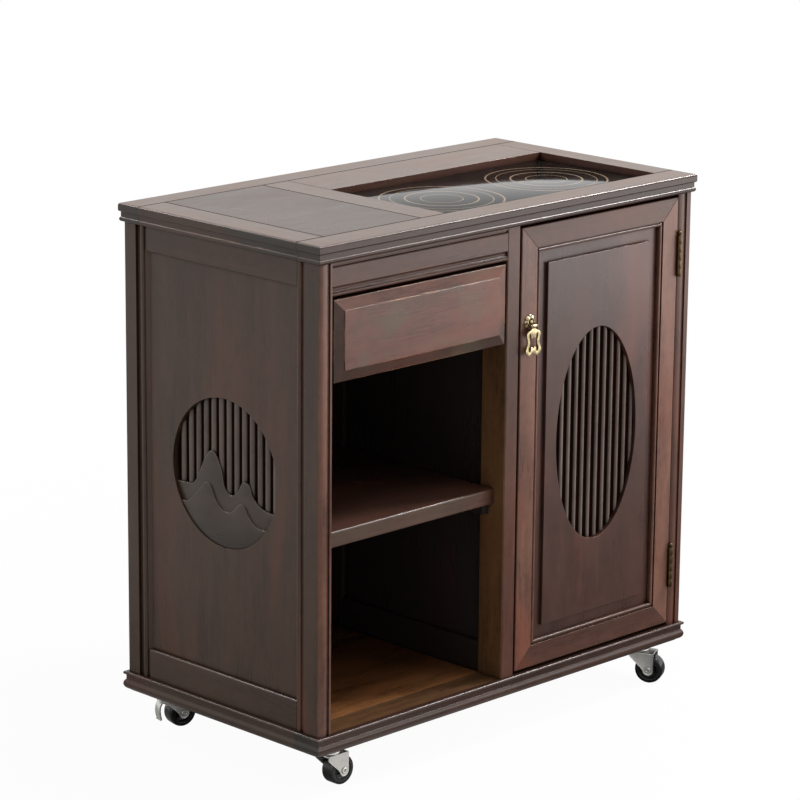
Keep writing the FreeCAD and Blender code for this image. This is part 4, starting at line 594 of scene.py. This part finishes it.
# ---------------------------------------------------------------- operators
class TEATABLE_OT_stage(bpy.types.Operator):
    """Put up the camera, the lamps, the pale floor and the backdrop."""

    bl_idname = "tea_table.stage"
    bl_label = "Stage"

    FILM_WIDE = 36.0
    SEEN_TO = 50.0
    FLOOR_HALF = 30.0
    # name, place, aim, width, depth, power
    LAMPS = (("lamp_key", (2.05, -0.75, 2.45), (0.0, 0.0, 0.4), 0.6, 0.6, 85.0),
             ("lamp_front", (1.13, -1.33, 0.8), (0.05, -0.2, 0.5), 1.8, 0.8, 20.0),
             ("lamp_veil", (1.13, -1.33, 0.5), (0.05, -0.2, 0.5), 1.8, 0.5, 7.0),
             ("lamp_top", (-0.2, -0.4, 3.0), (0.0, 0.0, 0.4), 2.2, 2.2, 8.0),
             ("lamp_back", (-0.75, 2.05, 2.35), (0.0, 0.0, 0.4), 0.5, 0.5, 20.0),
             ("lamp_left", (-3.0, 0.6, 1.8), (0.0, 0.0, 0.4), 1.6, 1.6, 18.0))

    def put_camera(self, scene, settings):
        """The camera of the photograph's view, as its turn, height and roll say."""
        data = bpy.data.cameras.new("camera")
        data.lens = settings.lens
        data.sensor_width = self.FILM_WIDE
        data.clip_end = self.SEEN_TO
        camera = bpy.data.objects.new("camera", data)
        scene.collection.objects.link(camera)
        turn_by, up_by = settings.round_angle, settings.height_angle
        back = Vector((math.sin(turn_by) * math.cos(up_by), -math.cos(turn_by) * math.cos(up_by),
                       math.sin(up_by)))
        right = Vector((math.cos(turn_by), math.sin(turn_by), 0.0))
        over = back.cross(right)
        c, s = math.cos(settings.roll), math.sin(settings.roll)
        axes = Matrix((c * right + s * over, -s * right + c * over, back)).transposed()
        camera.matrix_world = Matrix.Translation(settings.eye) @ axes.to_4x4()
        scene.camera = camera

    def put_floor(self, scene, settings):
        """A pale floor that the camera sees white, and that mirrors darker close by, as painted shade in the
        lacquer.
        """
        bm = bmesh.new()
        bmesh.ops.create_grid(bm, x_segments=1, y_segments=1, size=self.FLOOR_HALF)
        mesh = bpy.data.meshes.new("floor")
        bm.to_mesh(mesh)
        bm.free()
        look = Look("pale_floor")
        ray = look.add("ShaderNodeLightPath")
        x, y = look.split(look.place())[:2]
        away = (x * x + y * y) ** 0.5
        mirrored_ray = ray.pin("Is Glossy Ray").upper(ray.pin("Is Transmission Ray"))
        forward = x - y
        far = forward.ease(1.6, 3.5).upper(forward.ease(-0.6, 0.0, 1.0, 0.0) * away.ease(0.7, 3.0))
        seen = (ray.pin("Is Camera Ray") * away.ease(0.4, 2.0, 0.96, 1.0)).upper(mirrored_ray * far)
        # painted shade: in the lacquer's mirror the floor in front of the table turns near black
        shaded = mirrored_ray * forward.ease(0.0, 0.6) * 0.85
        pale = look.mix(shaded, tuple(settings.floor), (0.02, 0.02, 0.02))
        matt = look.add("ShaderNodeBsdfDiffuse", {}, {"Color": pale})
        glow = look.add("ShaderNodeEmission", {}, {"Color": (1.0, 1.0, 1.0), "Strength": 1.0})
        look.end(look.add("ShaderNodeMixShader", {}, {0: seen, 1: matt, 2: glow}))
        mesh.materials.append(look.material)
        floor = bpy.data.objects.new("floor", mesh)
        scene.collection.objects.link(floor)

    def put_sky(self, scene):
        """A white sky, dimmer as a lamp than as it is seen."""
        sky = Look("studio", "worlds", "ShaderNodeOutputWorld")
        ray = sky.add("ShaderNodeLightPath")
        straight = ray.pin("Is Camera Ray").upper(ray.pin("Is Glossy Ray"))
        straight = straight.upper(ray.pin("Is Transmission Ray"))
        strength = sky.add("ShaderNodeMapRange", {}, {0: straight, 3: 0.42, 4: 1.0})
        sky.end(sky.add("ShaderNodeBackground", {}, {"Color": (1.0, 1.0, 1.0), "Strength": strength}))
        scene.world = sky.material

    def put_lamps(self, scene, settings):
        """Soft lamps. The large one in front isn't seen in the lacquer."""
        for name, place, aim, wide, deep, power in self.LAMPS:
            lamp = bpy.data.lights.new(name, "AREA")
            lamp.shape = "RECTANGLE" if wide > deep else "DISK"
            lamp.size = wide
            lamp.size_y = deep
            lamp.energy = power * settings.lamp
            holder = bpy.data.objects.new(name, lamp)
            holder.visible_glossy = name != "lamp_front"
            holder.location = place
            holder.rotation_euler = (Vector(aim) - Vector(place)).to_track_quat("-Z", "Y").to_euler()
            scene.collection.objects.link(holder)

    def execute(self, context):
        scene, settings = context.scene, context.scene.tea_stage
        scene.view_settings.view_transform = "Standard"
        self.put_camera(scene, settings)
        self.put_floor(scene, settings)
        self.put_sky(scene)
        self.put_lamps(scene, settings)
        return {"FINISHED"}


class TEATABLE_OT_woodwork(bpy.types.Operator):
    """Give every board its wood stain, with the grain along it, and its painted shade and highlights."""

    bl_idname = "tea_table.woodwork"
    bl_label = "Woodwork"

    def execute(self, context):
        tones = context.scene.tea_wood
        pairs = {name: (tuple(getattr(tones, name)), tuple(getattr(tones, name + "_deep")))
                 for name in ("stain", "top", "side", "panel", "shelf", "back", "slat", "drawer", "floor",
                              "inside", "lip", "leaf", "stile", "flank", "end", "brow", "slant")}
        low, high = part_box("top_left_panel")
        strip_low, strip_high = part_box("top_back_strip")
        panel_ends = (("X", low.x), ("X", high.x), ("Y", low.y), ("Y", high.y))
        strip_ends = (("X", strip_low.x), ("X", strip_high.x), ("Y", strip_high.y))
        door_low, door_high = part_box("door_stiles")
        middle, half = (door_low + door_high) / 2, (door_high - door_low) / 2
        mitred = {"mitre": (("X", middle.x, half.x), ("Z", middle.z, half.z)), "edge": 1.0 * MM}
        side_low, side_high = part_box("side_left_panel")
        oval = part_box("door_slats")[0]
        leaf_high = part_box("door_panel")[1]
        # the windows' wells and the gaps between the slats get painted shadow
        side_well = sunk("X", -side_low.x, 8.5, 10.4, -side_high.x + 0.2 * MM)
        side_gap = sunk("X", -side_low.x, 8.6, 10.2)
        door_well = sunk("Y", -oval.y, 1.5, 3.5, -leaf_high.y + 0.2 * MM)
        door_gap = sunk("Y", -oval.y, 0.6, 3.0)
        # left faces of the top and base: partly end grain, partly painted shade
        left = pairs["end"]
        # the pale rim colour is a painted highlight along edges
        rim = tuple(tones.rim)
        bay_low, bay_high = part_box("fascia_rail")
        sill = (("X", bay_low.x, bay_high.x), ("Y", SILL_FRONT, SILL_BACK))
        # carved sides: painted shadow in the window's well and a painted highlight on its rim
        carved_side = {"hollow": side_well, "streak": 1.4, "worn_or_highlight": rim}
        # node: finish, grain, shift, redness, wear_or_highlight, more
        boards = {
            "post_front_left": ("stile", "Z", 0.3, 0.3, 0.3, {"edge": 1.1 * MM, "left": pairs["side"]}),
            "post_front_right": ("stain", "Z", 1.1, 0.3, 0.3, {}),
            "post_back_left": ("side", "Z", 2.3, 0.1, 0.15, {}),
            "post_back_right": ("side", "Z", 3.7, 0.1, 0.15, {}),
            "side_left_rails": ("side", "Y", 0.9, 0.05, 0.15, {}),
            "side_right_rails": ("side", "Y", 1.9, 0.05, 0.15, {}),
            "divider_front_post": ("stain", "Z", 4.1, 0.15, 0.4, {"edge": 1.1 * MM, "left": pairs["flank"]}),
            "fascia_rail": ("stain", "X", 0.6, 0.25, 0.3, {}),
            # the base's front edges carry a painted highlight in the pale rim colour
            "base_front": ("lip", "X", 1.4, 0.05, 0.55, {"worn_or_highlight": rim, "streak": 1.5, "edges": pairs["brow"],
                                                         "within": sill, "left": left}),
            "base_back": ("stain", "X", 2.4, 0.1, 0.2, {}),
            "base_cross_rails": ("side", "Y", 3.4, 0.05, 0.2, {}),
            "door_stiles": ("stile", "Z", 5.2, 0.4, 0.3, mitred),
            "door_rails": ("stain", "X", 6.2, 0.3, 0.3, mitred),
            "top_front_rail": ("top", "X", 0.2, 0.1, 0.4, {"joints": (("Y", low.y),), "left": left,
                                                           "edges": pairs["brow"]}),
            "top_back_rail": ("top", "X", 1.2, 0.1, 0.4, {"joints": (("Y", high.y),), "left": left}),
            "top_left_stile": ("top", "Y", 2.2, 0.15, 0.9, {"joints": panel_ends, "left": left,
                                                            "edge": 1.6 * MM}),
            "top_right_stile": ("top", "Y", 3.2, 0.1, 0.4, {"joints": panel_ends[2:]}),
            "top_mid_rail": ("top", "Y", 4.2, 0.1, 0.3, {"joints": panel_ends}),
            "top_left_panel": ("leaf", "X", 5.2, 0.1, 0.2, {"joints": panel_ends}),
            "top_back_strip": ("top", "X", 6.2, 0.1, 0.3, {"joints": strip_ends}),
            "side_left_panel": ("side", "Z", 0.5, 0.16, 0.5, carved_side),
            "side_right_panel": ("side", "Z", 1.5, 0.16, 0.5, carved_side),
            "door_panel": ("panel", "Z", 2.5, 0.2, 0.3, {"hollow": door_well, "streak": 0.4,
                                                         "edge": 1.0 * MM, "lacquer": 0.48}),
            "side_left_slats": ("slat", "Z", 0.7, 0.05, 0.1, {"hollow": side_gap}),
            "side_right_slats": ("slat", "Z", 1.7, 0.05, 0.1, {"hollow": side_gap}),
            "door_slats": ("slat", "Z", 2.7, 0.1, 0.1, {"hollow": door_gap}),
            # the drawer front's sideways and downward bevels get painted shade
            "drawer_front": ("drawer", "X", 0.4, 0.35, 0.9, {"edge": 1.7 * MM, "moss": 0.4,
                                                             "slant": pairs["slant"]}),
            # the bay floor and the shelf darken towards the back as painted shade
            "floor_boards": ("floor", "X", 0.8, 0.1, 0.1, {"depth_shade": ("Y", -0.195, -0.04, 0.85),
                                                           "streak": 2.2}),
            "shelf": ("shelf", "X", 1.8, 0.2, 0.3, {"edges": pairs["leaf"], "edge": 1.2 * MM,
                                                    "depth_shade": ("Y", -0.185, -0.03, 0.75)}),
            # the back, the divider and the hidden rails take the dark grey back colours: painted shade of
            # the deep bay
            "back_rails": ("back", "X", 0.1, 0.1, 0.1, {}),
            "back_panel": ("back", "Z", 1.3, 0.05, 0.1, {"streak": 0.4}),
            "divider_back_post": ("back", "Z", 2.1, 0.1, 0.1, {}),
            "divider_rails": ("back", "Y", 3.3, 0.05, 0.1, {"streak": 0.4}),
            "divider_panel": ("back", "Z", 4.3, 0.05, 0.1, {"streak": 0.4}),
            "shelf_cleats": ("back", "Y", 5.3, 0.1, 0.1, {}),
            "drawer_runners": ("back", "Y", 6.3, 0.1, 0.1, {}),
            "drawer_box": ("inside", "Y", 7.3, 0.1, 0.1, {}),
            "drawer_bottom": ("inside", "X", 8.3, 0.1, 0.1, {}),
            "stove_ledges": ("back", "X", 9.3, 0.1, 0.1, {}),
        }
        for node, (finish, along, shift, red, wear_or_highlight, more) in boards.items():
            light, deep = pairs[finish]
            if finish in ("top", "leaf"):
                more.setdefault("edges", pairs["stain"])
            slots = frame["nodes"][node].data.materials
            slots.clear()
            slots.append(wood("wood_" + node, light, deep, along, shift, red, wear_or_highlight, **more))
        return {"FINISHED"}


class TEATABLE_OT_fittings(bpy.types.Operator):
    """Mix the metals, the nylon and the glass, and finish the plain fittings."""

    bl_idname = "tea_table.fittings"
    bl_label = "Fittings"

    def execute(self, context):
        tones = context.scene.tea_metal
        metal("pale_brass", tuple(tones.brass), tuple(tones.brass_dark), 0.26, 0.9)
        dull = metal("dull_brass", tuple(tones.hinge), tuple(tones.hinge_dark), 0.36, 0.9)
        zinc = metal("zinc_plate", tuple(tones.zinc), tuple(tones.zinc_dark), 0.36, 0.5)
        steel = metal("plain_steel", tuple(tones.steel), (0.1, 0.1, 0.1), 0.35, 0.5)
        nylon("black_nylon", tuple(tones.wheel))
        low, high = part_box("stove_plate")
        middle = (low + high) / 2
        rings = in_metres(((88.0, 1.1), (73.0, 0.5), (52.0, 1.1), (30.0, 0.5)))
        centres = [(middle.x + side * (high.x - low.x) / 4, middle.y) for side in (-1, 1)]
        glass = ringed_glass("ringed_glass", centres, rings)
        for node, body, slot, material, offset in (("hinge_post_leaves", "cabinet", "brass", dull, 0.25),
                                                   ("hinge_door_leaves", "door", "brass", dull, 0.25),
                                                   ("door_catch", "cabinet", "steel", steel, 0.8),
                                                   ("door_strike", "door", "steel", steel, 0.3),
                                                   ("caster_plates", "cabinet", "zinc", zinc, 0.4),
                                                   ("caster_screws", "cabinet", "steel", steel, 0.45),
                                                   ("stove_plate", "cabinet", "glass_plate", glass, 0.8)):
            piece(node + "_eased", eased(node, offset * MM), body, material, (node,))
        return {"FINISHED"}


class TEATABLE_OT_hills(bpy.types.Operator):
    """Carve the hills of the round windows with eased edges."""

    bl_idname = "tea_table.hills"
    bl_label = "Carved hills"

    def execute(self, context):
        tones = context.scene.tea_wood
        for side, shift in (("left", 3.5), ("right", 4.5)):
            node = f"side_{side}_hills"
            # hills: a painted highlight runs along their carved edges in the pale rim colour
            carved = wood("wood_" + node, tuple(tones.hill), tuple(tones.hill_deep), "Y", shift, 0.05, 0.85,
                          streak=0.6, edge=1.9 * MM, worn_or_highlight=tuple(tones.rim), least_wear_or_highlight=0.6)
            piece(node + "_carved", eased(node, 0.8 * MM, 3), "cabinet", carved, (node,),
                  sharp=50.0)
        return {"FINISHED"}


class TEATABLE_OT_pull(bpy.types.Operator):
    """Model the scalloped rosette with its knob, and the openwork drop that hangs from it."""

    bl_idname = "tea_table.pull"
    bl_label = "Door pull"

    LOBES = 8
    LOBES_FROM, RIM, VALLEY, SWELL, DIP = 5.8 * MM, 9.0 * MM, 7.8 * MM, 2.8 * MM, 0.7 * MM
    CHEEK_OUT, CHEEK_THICK = 4.6 * MM, 1.6 * MM

    def execute(self, context):
        brass = bpy.data.materials["pale_brass"]
        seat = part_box("pull_rosette")[1].y
        pin = Vector(joint("pull_swing")["pos_m"])
        centre = Vector((pin.x, seat, pin.z + 5.0 * MM))
        bm = bmesh.new()
        turned(bm, in_metres((
            (9.0, 0.0), (9.0, 1.0), (8.7, 1.7), (8.0, 2.5), (7.2, 3.2), (6.5, 3.9), (5.8, 4.2), (5.2, 3.9),
            (4.7, 3.0), (4.3, 1.9), (3.7, 1.6), (3.2, 2.5), (3.0, 4.0), (2.4, 5.2), (1.3, 5.7),
            (0.0, 5.9))), 96, Matrix.Translation(centre) @ quarter("X"))
        for vert in bm.verts:
            across, up = vert.co.x - centre.x, vert.co.z - centre.z
            radius = math.hypot(across, up)
            if radius < self.LOBES_FROM:
                continue
            lobe = abs(math.cos(math.atan2(up, across) * self.LOBES / 2)) ** 0.6
            out = (radius - self.LOBES_FROM) / (self.RIM - self.LOBES_FROM)
            grow = 1.0 + ((self.VALLEY + self.SWELL * lobe) / self.RIM - 1.0) * out
            vert.co.x = centre.x + across * grow
            vert.co.z = centre.z + up * grow
            if vert.co.y < seat - SAME_PLACE:
                vert.co.y += (1.0 - lobe) * out * self.DIP
        root = seat - pin.y
        outline = round_points(0.0, 0.0, 2.4 * MM, 270, 90, 10) + [(root, 4.4 * MM), (root, -1.6 * MM)]
        for side in (-1, 1):
            cheek = Matrix.Translation((pin.x + side * self.CHEEK_OUT, pin.y, pin.z)) @ quarter("Z")
            plate(bm, outline, -side * self.CHEEK_THICK, cheek, 0.4 * MM)
        end = ((0.0, -6.1), (0.9, -6.0), (1.5, -5.4), (1.2, -4.9))
        turned(bm, in_metres(end + mirrored(end)), 16, Matrix.Translation(pin) @ quarter("Y"))
        piece("pull_rosette_cast", bm, "door", brass, ("pull_rosette",), sharp=55.0)
        piece("pull_drop_cast", eased("pull_pendant", 0.55 * MM, 3), "pull_drop", brass,
              ("pull_pendant",), sharp=60.0)
        return {"FINISHED"}


class TEATABLE_OT_forks(bpy.types.Operator):
    """Press the caster forks with rolled rims, seat them under their races and rivet the axles."""

    bl_idname = "tea_table.forks"
    bl_label = "Caster forks"

    TRAIL, AXLE_UP, HUB = 16.0, 21.0, 8.0
    LEG_INSIDE, LEG_THICK = 11.75 * MM, 1.9 * MM
    CROWN_LOW, CROWN_HIGH, CROWN_WIDE = 45.0, 47.5, 27.3
    RACE = ((4.3, 47.6), (12.8, 47.6), (14.4, 48.2), (15.0, 49.3), (15.0, 50.6), (14.2, 51.8), (12.6, 52.3),
            (12.2, 52.7), (12.2, 53.4), (13.2, 53.8), (14.2, 54.3), (14.6, 55.1), (14.2, 56.1), (4.3, 56.1),
            (4.3, 47.6))
    RIVET = ((0.0, 12.6), (1.6, 12.6), (1.8, 14.1), (2.2, 14.6), (2.9, 14.85), (3.7, 14.7), (4.4, 14.3),
             (4.6, 13.7), (3.0, 13.6))
    BRAKE_PIN = ((0.0, -14.5), (1.6, -14.4), (2.4, -13.8), (1.5, -13.6))

    def leg(self, bm, outline, place, side):
        """One pressed leg, with a rolled rim round its outer face."""
        before = set(bm.faces)
        plate(bm, in_metres(outline), side * self.LEG_THICK,
              place @ Matrix.Translation((0.0, side * self.LEG_INSIDE, 0.0)))
        outer = place @ Vector((0.0, side * (self.LEG_INSIDE + self.LEG_THICK), 0.0))
        way = place.to_3x3() @ Vector((0.0, side, 0.0))
        bmesh.ops.recalc_face_normals(bm, faces=bm.faces)
        broad = [face for face in set(bm.faces) - before
                 if len(face.verts) > 8 and abs((face.calc_center_median() - outer).dot(way)) < 0.3 * MM]
        bmesh.ops.inset_region(bm, faces=broad, thickness=1.7 * MM, depth=-0.45 * MM, use_even_offset=True)

    def crown(self, bm, front, place):
        """The plate that joins both legs, its upper edges rolled."""
        verts = bmesh.ops.create_cube(bm, size=1.0)["verts"]
        tail = self.TRAIL + self.HUB
        level = (self.CROWN_LOW + self.CROWN_HIGH) / 2 * MM
        bmesh.ops.scale(bm, vec=((tail - front) * MM, self.CROWN_WIDE * MM,
                                 (self.CROWN_HIGH - self.CROWN_LOW) * MM), verts=verts)
        bmesh.ops.translate(bm, vec=((tail + front) / 2 * MM, 0.0, level), verts=verts)
        rims = [edge for edge in {e for v in verts for e in v.link_edges}
                if all(v.co.z > level for v in edge.verts)]
        bmesh.ops.transform(bm, matrix=place, verts=verts)
        bmesh.ops.bevel(bm, geom=rims, offset=1.6 * MM, offset_type="OFFSET", segments=3, profile=0.5,
                        affect="EDGES", material=-1, clamp_overlap=True)

    def execute(self, context):
        zinc = bpy.data.materials["zinc_plate"]
        for corner in CORNERS:
            place = corner_place(corner)
            braked = corner.startswith("back")
            lead = [(-13.5, 47.0), (-13.5, 38.4), (-12.6, 36.8), (-9.4, 36.4)] if braked \
                else [(-13.0, 47.0), (-13.0, 41.4), (-12.2, 39.4), (-8.6, 36.0)]
            hub = round_points(self.TRAIL, self.AXLE_UP, self.HUB, 190, 360, 14)
            outline = lead + [(-1.6, 29.6), (4.8, 23.8)] + hub + [(self.TRAIL + self.HUB, 47.0)]
            bm = bmesh.new()
            for side in (-1, 1):
                self.leg(bm, outline, place, side)
            self.crown(bm, lead[0][0], place)
            turned(bm, in_metres(self.RACE), 64, place)
            axle = place @ Matrix.Translation((self.TRAIL * MM, 0.0, self.AXLE_UP * MM)) @ quarter("X")
            turned(bm, in_metres(self.RIVET + mirrored(self.RIVET)), 32, axle)
            if braked:
                pin = place @ Matrix.Translation((-9.5 * MM, 0.0, 40.5 * MM)) @ quarter("X")
                turned(bm, in_metres(self.BRAKE_PIN + mirrored(self.BRAKE_PIN)), 20, pin)
                lever = "brake_lever_" + corner
                piece("brake_pedal_" + corner, eased(lever, 0.5 * MM), "brake_" + corner, zinc,
                      (lever,), sharp=50.0)
            piece("fork_" + corner, bm, "fork_" + corner, zinc, ("caster_fork_" + corner,),
                  sharp=40.0)
        return {"FINISHED"}


class TEATABLE_OT_wheels(bpy.types.Operator):
    """Turn the four wheels with a crowned tread, a stepped rim and a dished web."""

    bl_idname = "tea_table.wheels"
    bl_label = "Wheels"

    SIDE = ((3.1, 11.3), (6.6, 11.3), (7.0, 10.9), (7.0, 8.0), (7.6, 7.4), (11.4, 7.4), (12.0, 7.8),
            (12.0, 9.5), (12.5, 10.1), (13.3, 10.1), (13.8, 9.4), (14.3, 9.4), (14.8, 10.2), (15.6, 10.5),
            (18.4, 10.45), (19.7, 10.1), (20.5, 9.2), (20.88, 7.8), (20.97, 5.0))

    def execute(self, context):
        black = bpy.data.materials["black_nylon"]
        for corner in CORNERS:
            low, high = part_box("caster_wheel_" + corner)
            tread = [((high.z - low.z) / 2, 0.0)]
            profile = in_metres(self.SIDE) + tread + in_metres(mirrored(self.SIDE))
            axle = Matrix.Translation(Vector(joint("roll_" + corner)["pos_m"]))
            facing = Vector(joint("roll_" + corner)["axis"]).to_track_quat("Z", "X").to_matrix().to_4x4()
            bm = bmesh.new()
            turned(bm, profile + profile[:1], 72, axle @ facing)
            piece("wheel_" + corner, bm, "wheel_" + corner, black, ("caster_wheel_" + corner,))
        return {"FINISHED"}


class TEATABLE_PT_panel(bpy.types.Panel):
    """Steps that dress the tea table."""

    bl_label = "Tea Table"
    bl_space_type = "VIEW_3D"
    bl_region_type = "UI"
    bl_category = "Tea Table"

    def draw(self, context):
        for step in STEPS:
            self.layout.operator(step.bl_idname)
        for group in ("tea_wood", "tea_metal", "tea_stage"):
            box = self.layout.box()
            settings = getattr(context.scene, group)
            for name in settings.__annotations__:
                box.prop(settings, name)


GROUPS = {"tea_wood": TeaTableWood, "tea_metal": TeaTableMetal, "tea_stage": TeaTableStage}
STEPS = (TEATABLE_OT_stage, TEATABLE_OT_woodwork, TEATABLE_OT_fittings, TEATABLE_OT_hills, TEATABLE_OT_pull,
         TEATABLE_OT_forks, TEATABLE_OT_wheels)


def register():
    """Makes the settings, the steps and the panel known."""
    for name, group in GROUPS.items():
        bpy.utils.register_class(group)
        setattr(bpy.types.Scene, name, bpy.props.PointerProperty(type=group))
    for step in STEPS:
        bpy.utils.register_class(step)
    bpy.utils.register_class(TEATABLE_PT_panel)


def unregister():
    """Takes them away again, last first."""
    bpy.utils.unregister_class(TEATABLE_PT_panel)
    for step in reversed(STEPS):
        bpy.utils.unregister_class(step)
    for name, group in GROUPS.items():
        delattr(bpy.types.Scene, name)
        bpy.utils.unregister_class(group)


def main():
    """Runs every step in order."""
    register()
    for step in STEPS:
        package, name = step.bl_idname.split(".")
        getattr(getattr(bpy.ops, package), name)()


if __name__ == "__main__":
    main()
